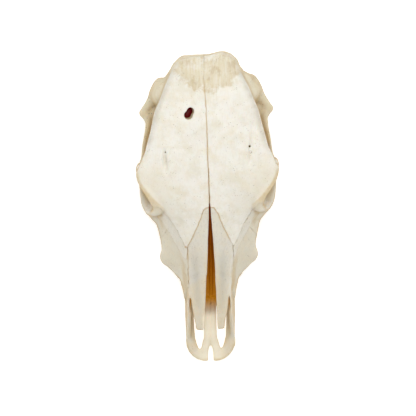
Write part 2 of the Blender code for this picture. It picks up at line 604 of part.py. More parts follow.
def cheek_tooth(name, front_y, length, width, collection):
    """Square-crowned cheek tooth with a waist between its lobes, flat at the floor."""
    middle_y = front_y + length / 2
    middle_x = along(TOOTH_ROW_X, middle_y)
    lean = along(TOOTH_ROW_X, middle_y + 5) - along(TOOTH_ROW_X, middle_y - 5)
    turn = math.atan2(lean, 10)
    turns = np.arange(12) * 2 * math.pi / 12
    lengthwise = np.sign(np.sin(turns)) * np.abs(np.sin(turns)) ** 0.7 * (length - TOOTH_GAP) / 2
    crosswise = np.sign(np.cos(turns)) * np.abs(np.cos(turns)) ** 0.7 * width / 2
    crosswise *= 1 - 0.14 * np.cos(2 * math.pi * lengthwise / length) * (length > 20)
    x = middle_x + crosswise * math.cos(turn) + lengthwise * math.sin(turn)
    y = middle_y - crosswise * math.sin(turn) + lengthwise * math.cos(turn)
    rings = []
    for z, swell in ((FLOOR_Z, 0.94), (CROWN_LINE_Z, 1.0), (TOOTH_ROOT_Z, 0.84)):
        rings.append([(middle_x + (px - middle_x) * swell, middle_y + (py - middle_y) * swell, z)
                      for px, py in zip(x, y)])
    return loft(name, rings, collection)


def root_teeth(bones):
    """Sinks the six cheek teeth of each side into the jaw that they grow from, as one body."""
    left = bpy.data.collections.new("left_teeth")
    right = bpy.data.collections.new("right_teeth")
    for row in (left, right):
        bpy.context.scene.collection.children.link(row)
    front_y = TOOTH_ROW_FRONT_Y
    for name, length, width in CHEEK_TEETH:
        tooth = cheek_tooth(name, front_y, length, width, left)
        twin = mirrored(tooth)
        left.objects.unlink(twin)
        right.objects.link(twin)
        tooth.data.transform(LEAN)
        twin.data.transform(LEAN)
        front_y += length
    for word, row in (("left", left), ("right", right)):
        keep_largest(boolean(bones[f"maxilla_{word}"], "UNION", row))
        remove_all(row)


def finish_bones(bones):
    """Puts the bones in their collection, under one empty, each with its own bone material."""
    collection = bpy.data.collections.new("cow_skull")
    bpy.context.scene.collection.children.link(collection)
    skull = new_object("skull_origin", None, collection)
    for name, bone in bones.items():
        for old in bone.users_collection:
            old.objects.unlink(bone)
        collection.objects.link(bone)
        bone.name = bone.data.name = name
        bone.parent = skull
        material = bpy.data.materials.new(name + "_bone")
        material.use_nodes = True
        shader = material.node_tree.nodes["Principled BSDF"]
        shader.inputs["Base Color"].default_value = (*BONE_COLOURS[name.split("_")[0]], 1)
        shader.inputs["Roughness"].default_value = BONE_ROUGHNESS
        bone.data.materials.clear()
        bone.data.materials.append(material)
        bone.data.set_sharp_from_angle(angle=math.radians(SHARP_EDGE_DEGREES))


def main():
    for obj in list(bpy.data.objects):
        bpy.data.objects.remove(obj)
    bones = part_bones(whole_skull())
    root_teeth(bones)
    finish_bones(bones)


main()
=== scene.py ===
import math

import bpy
import numpy as np
from mathutils import Euler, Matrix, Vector


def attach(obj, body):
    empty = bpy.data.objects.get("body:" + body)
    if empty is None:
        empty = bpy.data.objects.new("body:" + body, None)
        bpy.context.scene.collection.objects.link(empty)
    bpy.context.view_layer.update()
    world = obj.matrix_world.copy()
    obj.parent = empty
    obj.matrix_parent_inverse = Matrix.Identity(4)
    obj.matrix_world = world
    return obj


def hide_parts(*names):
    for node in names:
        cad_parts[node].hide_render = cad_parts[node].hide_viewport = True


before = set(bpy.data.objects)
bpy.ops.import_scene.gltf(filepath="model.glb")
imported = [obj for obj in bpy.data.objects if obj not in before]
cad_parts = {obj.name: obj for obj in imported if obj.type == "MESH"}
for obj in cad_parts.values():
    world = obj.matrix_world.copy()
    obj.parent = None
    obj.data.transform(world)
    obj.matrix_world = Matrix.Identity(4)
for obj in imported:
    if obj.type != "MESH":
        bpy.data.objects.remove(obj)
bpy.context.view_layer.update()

# Skull of a polled cow, seen from above. Lengths are in millimetres until a mesh is made.
# The nose points to -Y, the poll to +Y, and +X is the animal's left. Every bone is cut from
# one solid, kept as a distance field: a number at each point of a fine grid that says how
# far the point is from the surface, negative inside the bone.

mm = 0.001

volume = {"step": 1.25, "quickStep": 2.3, "halfWidth": 113, "front": -242, "back": 241, "floor": -4,
          "top": 188}
step = volume["step"]
ys = np.arange(volume["front"], volume["back"], step)
zs = np.arange(volume["floor"], volume["top"], step)
halfLines = (np.arange(step / 2, volume["halfWidth"], step), ys, zs)
fullLines = (np.concatenate([-halfLines[0][::-1], halfLines[0]]), ys, zs)
fullX, fullY, fullZ = np.meshgrid(*fullLines, indexing="ij", sparse=True)


def keyed(keys, at):
    # smooth curve through (place, value) keys: cubic pieces whose slopes are the harmonic
    # mean of the two neighbouring slopes, so the curve never overshoots a key
    places, values = np.array(keys, float).T
    gaps = np.diff(places)
    slopes = np.diff(values) / gaps
    tangents = np.concatenate([slopes[:1], np.zeros(len(slopes) - 1), slopes[-1:]])
    rising = slopes[:-1] * slopes[1:] > 0
    tangents[1:-1][rising] = (2 * slopes[:-1] * slopes[1:])[rising] / (slopes[:-1] + slopes[1:])[rising]
    at = np.clip(at, places[0], places[-1])
    i = np.clip(np.searchsorted(places, at) - 1, 0, len(gaps) - 1)
    t = (at - places[i]) / gaps[i]
    return ((1 + 2 * t) * (1 - t) ** 2 * values[i] + t * (1 - t) ** 2 * gaps[i] * tangents[i]
            + t * t * (3 - 2 * t) * values[i + 1] + t * t * (t - 1) * gaps[i] * tangents[i + 1])


def throughPoints(points, count):
    # evenly spaced points on the smooth curve through the given ones, every column carried along
    points = np.array(points, float)
    reach = np.concatenate([[0], np.cumsum(np.linalg.norm(np.diff(points[:, :3], axis=0), axis=1))])
    spread = np.linspace(0, reach[-1], count)
    return np.stack([keyed(np.stack([reach, column], 1), spread) for column in points.T], 1)


def outlineDistance(u, v, outline, closed=True):
    # distance to a closed outline in a plane, negative inside: nearest point of all edges,
    # with the sign from how many edges a ray to the right crosses
    outline = np.array(outline, float)
    ends = np.roll(outline, -1, axis=0)
    if not closed:
        outline, ends = outline[:-1], ends[:-1]
    nearest = np.full(np.broadcast(u, v).shape, 1e9)
    inside = np.zeros(nearest.shape, bool)
    for (ua, va), (ub, vb) in zip(outline, ends):
        du, dv = ub - ua, vb - va
        t = np.clip(((u - ua) * du + (v - va) * dv) / max(du * du + dv * dv, 1e-9), 0, 1)
        nearest = np.minimum(nearest, (u - ua - t * du) ** 2 + (v - va - t * dv) ** 2)
        if va != vb:
            inside ^= ((va > v) != (vb > v)) & (u < ua + (v - va) * du / dv)
    return np.where(inside, -1, 1) * np.sqrt(nearest)


def softMax(a, b, blend):
    # the larger value, with the corner between the two rounded within the blend
    share = np.clip(0.5 + 0.5 * (a - b) / blend, 0, 1)
    return b + (a - b) * share + blend * share * (1 - share)


def slab(height, thick):
    # distance to a layer of this thickness that lies below height 0
    return np.abs(height + thick / 2) - thick / 2


# A shape is (lowest corner, highest corner, distance function of x, y and z).

def ball(centre, radii, turn=(0, 0, 0)):
    # stretched sphere: distance estimated from the scaled radius and its slope
    axes = np.array(Euler([math.radians(angle) for angle in turn]).to_matrix())
    reach = np.abs(axes) @ np.array(radii, float)

    def distance(x, y, z):
        x, y, z = x - centre[0], y - centre[1], z - centre[2]
        local = [axes[0, i] * x + axes[1, i] * y + axes[2, i] * z for i in range(3)]
        near = np.sqrt(sum((part / radius) ** 2 for part, radius in zip(local, radii)))
        slope = np.sqrt(sum((part / radius ** 2) ** 2 for part, radius in zip(local, radii)))
        return near * (near - 1) / np.maximum(slope, 1e-6)

    return np.array(centre) - reach, np.array(centre) + reach, distance


def strut(path, upright=(0, 0, 1), closed=False):
    # bar of oval section along a path of (x, y, z, half-width, half-height) points: at each
    # point of space the nearest stretch of the path gives the section, and the least wins
    samples = throughPoints(list(path) + [path[0]] if closed else path, 4 * len(path))
    centres, halves = samples[:, :3], samples[:, 3:]
    widest = halves.max()

    def distance(x, y, z):
        least = np.full(np.broadcast(x, y, z).shape, 60.0)
        for start, end, (wa, ha), (wb, hb) in zip(centres, centres[1:], halves, halves[1:]):
            along = end - start
            length = np.linalg.norm(along)
            along = along / length
            side = np.cross(upright, along)
            side /= np.linalg.norm(side)
            up = np.cross(along, side)
            margin = widest + 8
            low, high = np.minimum(start, end) - margin, np.maximum(start, end) + margin
            picks = tuple(slice(*np.searchsorted(line.ravel(), ends))
                          for line, ends in zip((x, y, z), zip(low, high)))
            px, py, pz = x[picks[0]] - start[0], y[:, picks[1]] - start[1], z[:, :, picks[2]] - start[2]
            t = px * along[0] + py * along[1] + pz * along[2]
            share = np.clip(t / length, 0, 1)
            over = t - share * length
            u = px * side[0] + py * side[1] + pz * side[2]
            v = px * up[0] + py * up[1] + pz * up[2]
            width, height = wa + (wb - wa) * share, ha + (hb - ha) * share
            tip = np.minimum(width, height)
            near = np.sqrt((u / width) ** 2 + (v / height) ** 2 + (over / tip) ** 2)
            slope = np.sqrt((u / width ** 2) ** 2 + (v / height ** 2) ** 2 + (over / tip ** 2) ** 2)
            part = near * (near - 1) / np.maximum(slope, 1e-6)
            least[picks] = np.minimum(least[picks], part)
        return least

    return centres.min(0) - widest, centres.max(0) + widest, distance


def uprightPlate(outline, innerX, outerX, rounding=2.0):
    # plate that stands lengthwise, from an outline of (y, z) points
    outline = np.array(outline, float)

    def distance(x, y, z):
        flat = outlineDistance(y[0], z[0], outline)[None]
        across = np.abs(x - (innerX + outerX) / 2) - (outerX - innerX) / 2
        return softMax(flat + 0 * x, across + 0 * flat, rounding)

    return (np.array([innerX, *outline.min(0)]), np.array([outerX, *outline.max(0)]), distance)


def planPrism(outline, low, high, rounding=0.01):
    # upright prism over an outline of (x, y) points, between two heights
    outline = np.array(outline, float)

    def distance(x, y, z):
        flat = outlineDistance(x[:, :, 0], y[:, :, 0], outline)[:, :, None]
        return softMax(flat + 0 * z, np.maximum(low - z, z - high) + 0 * flat, rounding)

    return np.array([*outline.min(0), low]), np.array([*outline.max(0), high]), distance


def squaredTube(low, high, widthFloorRoof, taper, power=2.9):
    # tube along y whose section is a squared oval: keys give its half-width, floor and roof
    def distance(x, y, z):
        a, bottom, top = (keyed(keys, y) for keys in widthFloorRoof)
        middle, b = (bottom + top) / 2, (top - bottom) / 2
        up = (z - middle) / b
        side = np.abs(x) / (a * taper(up))
        near = (side ** power + np.abs(up) ** power) ** (1 / power)
        return (near - 1) * np.minimum(a, b) * 0.9

    return np.array(low), np.array(high), distance


def cellsIn(lines, low, high):
    # the part of the grid between two corners, and its x, y and z
    picks = tuple(slice(*np.searchsorted(line, (a, b))) for line, a, b in zip(lines, low, high))
    return picks, *np.meshgrid(*(line[pick] for line, pick in zip(lines, picks)), indexing="ij", sparse=True)


def fuse(field, lines, shape, blend):
    # adds bone: the smaller of two distances, with the corner between them filled over the blend
    low, high, distance = shape
    picks, x, y, z = cellsIn(lines, low - blend - 4, high + blend + 4)
    old = field[picks]
    field[picks] = -softMax(-old, -distance(x, y, z), blend)


def carve(field, lines, shape, blend):
    # takes bone away, with the brim of the hollow rounded over the blend
    low, high, distance = shape
    picks, x, y, z = cellsIn(lines, low - blend - 4, high + blend + 4)
    field[picks] = softMax(field[picks], -distance(x, y, z), blend)


def ripple(lines, size, seed):
    # smooth random relief of a given feature size: random heights on a coarse lattice,
    # spread to the grid with quadratic B-spline weights, one axis after the other
    heights, weights = [], []
    for line in lines:
        places = (line - line[0]) / size + 1.0
        count = int(places[-1]) + 3
        gap = np.abs(places[:, None] - np.arange(count)[None])
        weights.append(np.where(gap < 0.5, 0.75 - gap ** 2, np.where(gap < 1.5, 0.5 * (1.5 - gap) ** 2, 0)))
        heights.append(count)
    lattice = np.random.default_rng(seed).standard_normal(heights)
    spread = np.einsum("ia,abc->ibc", weights[0], lattice, optimize=True)
    spread = np.einsum("jb,ibc->ijc", weights[1], spread, optimize=True)
    return np.einsum("kc,ijc->ijk", weights[2], spread, optimize=True).astype(np.float32)


def boxBlur(field, radius):
    # mean over a cube round each point, as differences of running sums, one axis after the other
    reach = max(1, int(round(radius / step)))
    for axis in range(3):
        padded = np.pad(field, [(reach + 1, reach) if a == axis else (0, 0) for a in range(3)], mode="edge")
        sums = np.cumsum(padded, axis=axis, dtype=np.float64)
        ahead = np.take(sums, np.arange(2 * reach + 1, sums.shape[axis]), axis=axis)
        behind = np.take(sums, np.arange(0, sums.shape[axis] - 2 * reach - 1), axis=axis)
        field = ((ahead - behind) / (2 * reach + 1)).astype(np.float32)
    return field


# The lines of the skull, each as (y, value) keys.
skullLines = {
    "dorsal": [(-190, 76), (-150, 91), (-110, 107), (-74, 121), (-30, 137), (0, 147), (30, 157), (60, 165),
               (95, 172), (135, 178), (170, 181), (198, 181), (212, 178), (222, 172), (229, 163)],
    "roofHalfWidth": [(-56, 34), (-20, 53), (0, 69), (10, 80), (20, 89), (33, 99), (45, 105), (53, 106.5),
                      (62, 103.5), (74, 98.5), (86, 93.5), (104, 88.5), (120, 84.5), (145, 78), (163, 70.5),
                      (182, 63.5), (200, 55), (212, 50), (222, 44), (229, 36)],
    "roofDrop": [(-56, 20), (-20, 16), (0, 13), (20, 9), (70, 9), (160, 9), (205, 12), (229, 14)],
    "roofRoll": [(-56, 0), (60, 0), (110, 4), (170, 6), (229, 4)],
    "roofEdge": [(-56, 9), (0, 9), (55, 8), (80, 12), (110, 18), (160, 24), (229, 26)],
    "roofTaper": [(-56, 1), (200, 1), (229, 0.45)],
    "median": [(-235, 0.0), (-184, 0.6), (-141, 1.8), (-81, 2.9), (-51, 2.8), (9, 2.3), (70, 1.1), (131, 0.3),
               (161, -1.0), (190, -2.9), (229, -1.5)],
    "brainCase": ([(2, 34), (40, 34), (70, 38), (100, 49), (140, 58), (175, 61), (200, 55), (210, 42)],
                  [(2, 84), (40, 73), (70, 66), (100, 59), (140, 52), (175, 46), (210, 46)],
                  [(2, 140), (40, 152), (70, 160), (140, 170), (175, 172), (210, 160)]),
}

faceLines = {
    "nasalEdge": ([(-150, 27), (-110, 31), (-74, 35), (-54, 38), (-20, 54), (-8, 65), (0, 72), (22, 78)],
                  [(-150, 78), (-110, 93), (-74, 107), (-54, 115), (-20, 126), (0, 134), (22, 139)]),
    "cheek": ([(-150, 34), (-110, 39), (-74, 49), (-54, 55), (-20, 69), (-8, 78), (0, 84), (22, 87)],
              [(-150, 58), (-110, 68), (-74, 81), (-54, 89), (-20, 101), (0, 110), (22, 114)]),
    "facialCrest": ([(-150, 37.5), (-125, 41.5), (-111, 45.8), (-99, 54), (-90, 63.5), (-81, 71.5),
                     (-74, 73.8), (-63, 72.3), (-39, 74.5), (-26, 76), (-14, 83), (0, 88), (22, 89)],
                    [(-150, 42), (-110, 49), (-74, 56), (-54, 59), (-20, 70), (0, 80), (22, 84)]),
    "underCrest": ([(-150, 35), (-110, 42), (-90, 52), (-74, 60), (-54, 63), (-20, 66), (0, 68), (22, 64)],
                   [(-150, 34), (-110, 38), (-74, 44), (-54, 46), (-20, 50), (0, 55), (22, 60)]),
    "outerSocket": ([(-150, 33), (-110, 42), (-74, 56), (-54, 61), (-20, 64), (0, 63), (22, 58)],
                    [(-150, 25), (-110, 23), (22, 23)]),
    "innerSocket": ([(-150, 26), (-110, 28), (-74, 33), (-54, 35), (-20, 38), (22, 40)],
                    [(-150, 24), (-110, 23), (22, 23)]),
    "palateSide": ([(-150, 20), (-110, 23), (-54, 30), (22, 34)],
                   [(-150, 27), (-110, 33), (-54, 36), (22, 38)]),
}
palateHeight = [(-150, 28), (-110, 34), (-54, 37), (22, 40)]
faceShape = {"frontY": -150, "backY": 22, "endY": 34, "endZ": 84, "lean": 0.62, "sides": 26,
             "under": 7, "underFromY": -52, "underLength": 24}

nasalShape = {
    "cavity": ([(-250, 29), (-150, 29), (-110, 30), (-74, 30), (-40, 29), (-10, 26), (14, 19), (70, 17)],
               [(-250, 30), (-150, 34), (-110, 40), (-40, 44), (14, 46), (70, 40)],
               [(-250, 72), (-150, 86), (-110, 101), (-74, 114), (-40, 120), (-10, 112), (14, 74), (70, 58)]),
    "gapHalfWidth": [(-195, 12), (-184, 10.8), (-172, 9.8), (-141, 8.2), (-111, 6.7), (-81, 5), (-51, 3.7),
                     (-20, 2.4), (0, 1.6), (8, 0.6)],
    "outerX": [(-187, 21.5), (-172, 23.5), (-158, 26.5), (-141, 29), (-110, 31), (-74, 34), (-40, 30)],
    "thickness": 4.6, "drop": 13, "dropPower": 2.2,
    "dish": 1.6, "dishPlace": 0.66, "dishWidth": 0.13,
    "tipY": -187, "backY": -40,
}


roofShape = {"dropPower": 2.6, "rollFrom": 0.8, "rollWidth": 0.2, "dip": 4, "dipFromY": -37, "dipLength": 20,
             "middleThickness": 30, "frontY": -57, "backY": 229.5}


def roofPlate():
    # forehead: height is the midline profile less a drop that grows towards the edge, with a
    # thickness that goes from the edge's own to a greater one at the middle
    def distance(x, y, z):
        halfWidth = keyed(skullLines["roofHalfWidth"], y)
        across = np.clip(np.abs(x) / halfWidth, 0, 1.25)
        drop = keyed(skullLines["roofDrop"], y) * across ** roofShape["dropPower"]
        top = keyed(skullLines["dorsal"], y) - drop
        roll = np.clip((across - roofShape["rollFrom"]) / roofShape["rollWidth"], 0, 1) ** 2
        top = top - keyed(skullLines["roofRoll"], y) * roll
        dip = np.clip((roofShape["dipFromY"] - y) / roofShape["dipLength"], 0, 1) ** 2
        top = top - roofShape["dip"] * dip
        edge = keyed(skullLines["roofEdge"], y)
        thick = edge + (roofShape["middleThickness"] - edge) * np.clip(1.5 - 2.2 * across, 0, 1)
        thick = thick * keyed(skullLines["roofTaper"], y)
        upright = slab(z - top, thick)
        sideways = (np.abs(x) - halfWidth) * 0.88
        ends = np.maximum(roofShape["frontY"] - y, y - roofShape["backY"])
        return softMax(softMax(upright, sideways + 0 * z, 4), ends + 0 * x, 3.5)

    return np.array([0, -58, 90]), np.array([107, 231, 183]), distance


def faceBlock():
    # upper jaw: in each slice along y the section is an outline through the face lines, whose
    # top sinks below the forehead and which shrinks to a rounded end behind
    def distance(x, y, z):
        result = np.empty(np.broadcast(x, y, z).shape)
        for i, place in enumerate(y.ravel()):
            at = np.clip(place, faceShape["frontY"], faceShape["backY"])
            share = (at - faceShape["underFromY"]) / faceShape["underLength"]
            under = faceShape["under"] * min(max(share, 0), 1) ** 2
            top = keyed(skullLines["dorsal"], at) - under
            half = [(0, top), (keyed(faceLines["nasalEdge"][0], at) * 0.6, top - 3)]
            half += [(keyed(widths, at), keyed(heights, at)) for widths, heights in faceLines.values()]
            half[2] = (half[2][0], half[2][1] - under)
            half.append((0, keyed(palateHeight, at)))
            corners = np.pad(np.array(half, float), ((0, 0), (0, 1)))
            outline = throughPoints(corners, faceShape["sides"])[:, :2]
            over = np.clip((place - faceShape["backY"]) / (faceShape["endY"] - faceShape["backY"]), 0, 1)
            share = math.sqrt(max(1 - over ** 2, 0.05))
            outline = (outline - (0, faceShape["endZ"])) * share + (0, faceShape["endZ"])
            result[:, i] = outlineDistance(x[:, 0], z[0], outline, closed=False)
        lean = (faceShape["frontY"] + faceShape["lean"] * np.maximum(z - 30, 0) - y) * 0.85
        ends = np.maximum(lean, y - faceShape["endY"])
        return softMax(result, ends + 0 * x, 3)

    return np.array([0, -150, 22]), np.array([92, 34, 158]), distance


napeShape = {
    "halfWidth": [(38, 40), (52, 54), (68, 66), (86, 77), (100, 78), (116, 70), (136, 57), (155, 46),
                  (172, 39)],
    "middle": [(38, 197), (60, 200), (90, 201), (120, 204), (140, 211), (160, 219), (172, 221)],
    "outward": 6,
    "forward": [(38, 8), (74, 14), (92, 18), (108, 17), (138, 10), (172, 5)], "forwardPower": 1.8,
    "thickness": [(38, 14), (90, 14), (140, 24), (172, 30)],
    "low": 38, "high": 173,
}


def nuchalPlate():
    # back wall: a plate whose back face bows forward towards its sides, by height
    def distance(x, y, z):
        half, middle, forward, thick = (keyed(napeShape[word], z)
                                        for word in ("halfWidth", "middle", "forward", "thickness"))
        bow = np.clip(np.abs(x) / half, 0, 1.2) ** napeShape["forwardPower"]
        back = middle + napeShape["outward"] - forward * bow
        through = slab(y - back, thick)
        sideways = (np.abs(x) - half) * 0.85
        ends = np.maximum(napeShape["low"] - z, z - napeShape["high"])
        return softMax(softMax(through, sideways + 0 * y, 4), ends + 0 * x, 4)

    return np.array([0, 160, 36]), np.array([80, 230, 175]), distance


wallShape = {"x": 34.0, "leanIn": 0.085, "spread": 0.025, "halfThickness": 2.6, "low": 17,
             "frontY": -214, "backY": -112,
             "top": [(-214, 18), (-204, 21), (-194, 29), (-180, 42), (-165, 57), (-150, 69), (-140, 77),
                     (-112, 88)]}


def incisiveWall():
    # side wall of the nose opening: it leans in as it rises, from the arm to the nasal bone,
    # and its top edge falls towards the front
    def distance(x, y, z):
        middle = wallShape["x"] - wallShape["leanIn"] * (z - 25) + wallShape["spread"] * (y + 150)
        across = np.abs(x - middle) - (wallShape["halfThickness"] + 0.02 * np.clip(60 - z, 0, 60))
        height = np.maximum((z - keyed(wallShape["top"], y)) * 0.75, wallShape["low"] - z)
        ends = np.maximum(wallShape["frontY"] - y, y - wallShape["backY"])
        return softMax(softMax(across, height + 0 * x, 2.5), ends + 0 * x, 2)

    return np.array([20, -214, 17]), np.array([42, -112, 90]), distance


def nasalPlate():
    # nose roof: height falls with a power of the way out, less a shallow dish along the outer
    # third, and the thickness is constant
    def distance(x, y, z):
        outer = keyed(nasalShape["outerX"], y)
        way = np.abs(x) / np.maximum(outer, 30)
        top = keyed(skullLines["dorsal"], y) - nasalShape["drop"] * way ** nasalShape["dropPower"]
        dish = np.exp(-((x / outer - nasalShape["dishPlace"]) / nasalShape["dishWidth"]) ** 2)
        top = top - nasalShape["dish"] * dish
        upright = slab(z - top, nasalShape["thickness"]) * 0.88
        inner = keyed(nasalShape["gapHalfWidth"], y) * 0.7
        sideways = np.maximum(x - outer, inner - x)
        ends = np.maximum(nasalShape["tipY"] - y, y - nasalShape["backY"])
        return softMax(softMax(upright, sideways + 0 * z, 2), ends + 0 * x, 3)

    return np.array([0, -188, 55]), np.array([36, -38, 136]), distance


def caseTaper(up):
    # below its middle the brain case narrows evenly, by 0.42 at the base
    return np.where(up < 0, 1 + 0.42 * np.maximum(up, -1.2), 1)


def airwayTaper(up):
    # above its middle the airway narrows evenly, by 0.35 at the roof
    return 1 - 0.35 * np.clip(up, 0, 1)


bars = {
    "orbitalRim": ([(88, -4, 98, 6, 7), (80, -7, 114, 6, 8), (75, 0, 131, 6, 8), (84, 15, 142, 4.5, 6),
                    (94, 31, 146, 4, 6), (100, 46, 147, 5, 6), (101, 60, 139, 6.5, 7.5),
                    (98, 66, 118, 5.5, 8), (97, 61, 99, 6.5, 7.5), (97, 44, 88, 6, 6), (95.5, 26, 85, 6, 6),
                    (93, 10, 87, 6, 6.5)], (1, 0, 0.05), True),
    "cheekBone": ([(60, -60, 60, 7, 7), (66, -40, 63, 7, 8), (72, -22, 69, 7, 11), (81, -9, 76, 8, 15),
                   (89, 0, 79, 8, 16), (94.5, 12, 79, 7.5, 14), (96.5, 28, 78, 6.8, 13),
                   (97.5, 44, 79, 6.4, 12), (97.5, 58, 82, 5.2, 10.5), (96.5, 70, 83, 4.8, 9)],
                  (0, 0, 1), False),
    "cheekArch": ([(97, 60, 81, 4.8, 9.5), (96, 72, 83, 4.2, 9), (94.5, 84, 85, 3.8, 8.5),
                   (93, 97, 88, 3.6, 8.5), (91, 108, 90, 3.6, 8.5), (88.5, 120, 91.5, 4.2, 8.5),
                   (87.5, 130, 91, 5, 8), (90, 140, 89, 7, 7)], (0.4, 0, 1), False),
    "jointShelf": ([(44, 150, 88, 22, 14), (60, 149, 89, 20, 9), (76, 147, 88, 16, 7), (86, 146, 87, 11, 7),
                    (95, 145, 88, 4.5, 5)], (0, 0, 1), False),
    "retroarticular": ([(62, 164, 84, 9, 5), (64, 162, 68, 6, 4)], (0, 1, 0), False),
    "temporalCrest": ([(96, 146, 90, 5, 6), (88, 156, 93, 6.5, 7), (81, 167, 97, 7, 8),
                       (76, 178, 102, 7, 9), (70, 190, 108, 7, 10)], (0, 0, 1), False),
    "earTube": ([(46, 162, 74, 9, 9), (62, 168, 76, 8.5, 8.5), (75, 171, 79, 8, 8)], (0, 0, 1), False),
    "muscularProcess": ([(44, 147, 42, 5, 5), (42, 138, 28, 3.4, 3.4), (41, 133, 20, 2.2, 2.2)],
                        (1, 0, 0), False),
    "jugularProcess": ([(52, 190, 62, 11, 17), (54, 191, 44, 9, 15), (51, 191, 26, 7, 12),
                        (46, 190, 10, 5.6, 9), (43.5, 189, -6, 4.6, 7)], (0, 1, 0), False),
    "skullBase": ([(0, 212, 46, 20, 9), (0, 190, 45, 20, 10), (0, 165, 44, 18, 10), (0, 135, 49, 14, 11),
                   (0, 100, 57, 12, 11), (0, 60, 67, 12, 12)], (0, 0, 1), False),
}
incisiveBars = {
    "arm": ([(31, -138, 29, 6, 7), (31, -160, 25, 6.1, 6), (30.2, -185, 20, 6.1, 5.5),
             (29.2, -205, 17, 6.6, 5), (26.5, -215, 16, 7.4, 5)], (0, 0, 1), False),
    "palatineProcess": ([(4.4, -140, 34, 5.2, 5), (4.4, -165, 27.5, 5.3, 4.8), (4.4, -190, 21, 5.3, 4.6),
                         (5.2, -206, 18, 5.4, 4.6), (9, -218, 16.5, 6, 4.8)], (0, 0, 1), False),
}
incisivePlan = {
    "body": [(37, -202), (36.4, -211), (33.6, -220), (28.5, -227), (20.5, -232.6), (12, -235.4), (5, -235.6),
             (3.2, -233.5), (3.4, -205), (14, -202)],
    "fissure": [(10.6, -160), (23.5, -160), (23.4, -188), (22.8, -199), (21.4, -208), (18.4, -215),
                (15.8, -217), (13.4, -213), (11.6, -204), (10.4, -190)],
    "notch": [(3.9, -244), (3.9, -224), (3.2, -217), (1.6, -212.5), (-1.6, -212.5), (-1.6, -244)],
    "low": 11.5, "high": 20.5,
}
balls = {
    "pollRidge": ((0, 205, 154), (50, 22, 27), (0, 0, 0), 6),
    "archNub": ((95, 145, 88), (5.5, 4.6, 5.5), (0, 0, 0), 3),
    "facialTuber": ((63, -74, 55), (11, 12, 8), (0, 0, 0), 6),
    "mastoid": ((56, 173, 100), (28.5, 24, 47), (0, 0, 0), 6),
    "tympanicBulla": ((43, 156, 46), (9.5, 15, 15), (0, 0, -12), 2),
    "nuchalTuber": ((0, 208, 128), (11, 9, 12), (0, 0, 0), 8),
    "condyle": ((30, 206, 52), (17.5, 17, 21), (0, -22, 18), 3),
    "muscularTubercle": ((11, 158, 37), (8, 11, 6), (0, 0, 0), 4),
}
pterygoidWing = {"innerX": 17.5, "outerX": 23.5,
                 "outline": [(2, 60), (6, 40), (14, 30), (30, 26), (48, 25), (64, 19), (71, 18), (76, 27),
                             (84, 42), (96, 58), (104, 72), (104, 82), (2, 82)]}
airway = squaredTube((-31, -250, 28), (31, 70, 122), nasalShape["cavity"], airwayTaper)


canals = {
    "foramenMagnum": ([(0, 232, 63, 17, 16), (0, 196, 67, 17, 17), (0, 170, 90, 22, 22)], 3),
    "ear": ([(86, 174, 81, 4, 4), (60, 168, 76, 4, 4)], 1),
    "infraorbital": ([(56, -126, 47, 3.4, 4.4), (44, -109, 49, 3.2, 4), (38, -92, 52, 3, 3.5)], 1.5),
}


def sharedForms():
    # all that both sides share, in order: added or carved, with the rounding of its corner
    yield fuse, faceBlock(), 4
    yield fuse, roofPlate(), 5
    yield fuse, squaredTube((0, 2, 44), (62, 210, 174), skullLines["brainCase"], caseTaper, 2.5), 8
    yield fuse, nuchalPlate(), 7
    for bar in bars.values():
        yield fuse, strut(*bar), 5
    for *shape, blend in balls.values():
        yield fuse, ball(*shape), blend
    yield fuse, uprightPlate(**pterygoidWing), 4
    yield carve, airway, 2
    yield fuse, nasalPlate(), 2
    for bar in incisiveBars.values():
        yield fuse, strut(*bar), 3
    yield fuse, planPrism(incisivePlan["body"], incisivePlan["low"], incisivePlan["high"], 4), 3
    yield fuse, incisiveWall(), 3
    yield carve, ball((92, 28, 118), (54, 28, 27), (0, 0, -6)), 2.5  # orbit
    yield carve, planPrism([(24.5, -180), (28.5, -180), (31, -150), (30.2, -138), (29.4, -138)],
                           60, 110), 0.8  # nose slit
    yield carve, ball((0, 160, 112), (37, 45, 34)), 2  # brain
    for path, blend in canals.values():
        yield carve, strut(path), blend
    yield carve, planPrism(incisivePlan["fissure"], 0, 40), 1.5
    yield carve, planPrism(incisivePlan["notch"], 0, 40), 1.2


unevenForms = {
    "pollBoss": ((26, 217, 158), (20, 16, 19)),
    "shoulder": ((58, 188, 120), (14, 12, 30)),
    "frontalHole": [[(-21, 142, 196, 6, 7), (-24, 144, 176, 5.2, 6.2), (-26, 145, 167, 5, 5.8)],
                    [(-23.8, 135.5, 196, 7.4, 7), (-27, 138.5, 176, 6.2, 6.4), (-29, 140.5, 167, 5.4, 5.4)]],
    "browGrooves": [[(-64, 98, 174, 1, 1), (-64.3, 84, 166.5, 2.2, 2), (-64, 72, 163.5, 3.2, 2.4),
                     (-62.5, 56, 162, 3, 1.8), (-60, 36, 166, 1, 1)],
                    [(68, 146, 182, 1, 1), (69.5, 128, 173.2, 1.8, 1.6), (68.5, 108, 170.3, 2, 1.6),
                     (66.5, 88, 167, 2.4, 2), (65, 68, 164, 2.6, 1.8), (62, 46, 168, 1, 1)],
                    [(73, 132, 178, 1, 1), (74, 118, 171, 1.3, 1.2), (72.5, 100, 168.6, 1.2, 1.2),
                     (71, 86, 172, 1, 1)]],
    "dents": [((-8, 234, 172), (22, 7, 14))],
    "foramina": [(65.5, 87, 1.7), (67, 78, 1.5), (-64, 83, 1.5)],
    "relief": [(0.45, 16, 3), (0.16, 5, 4)],  # height, feature size and seed
}


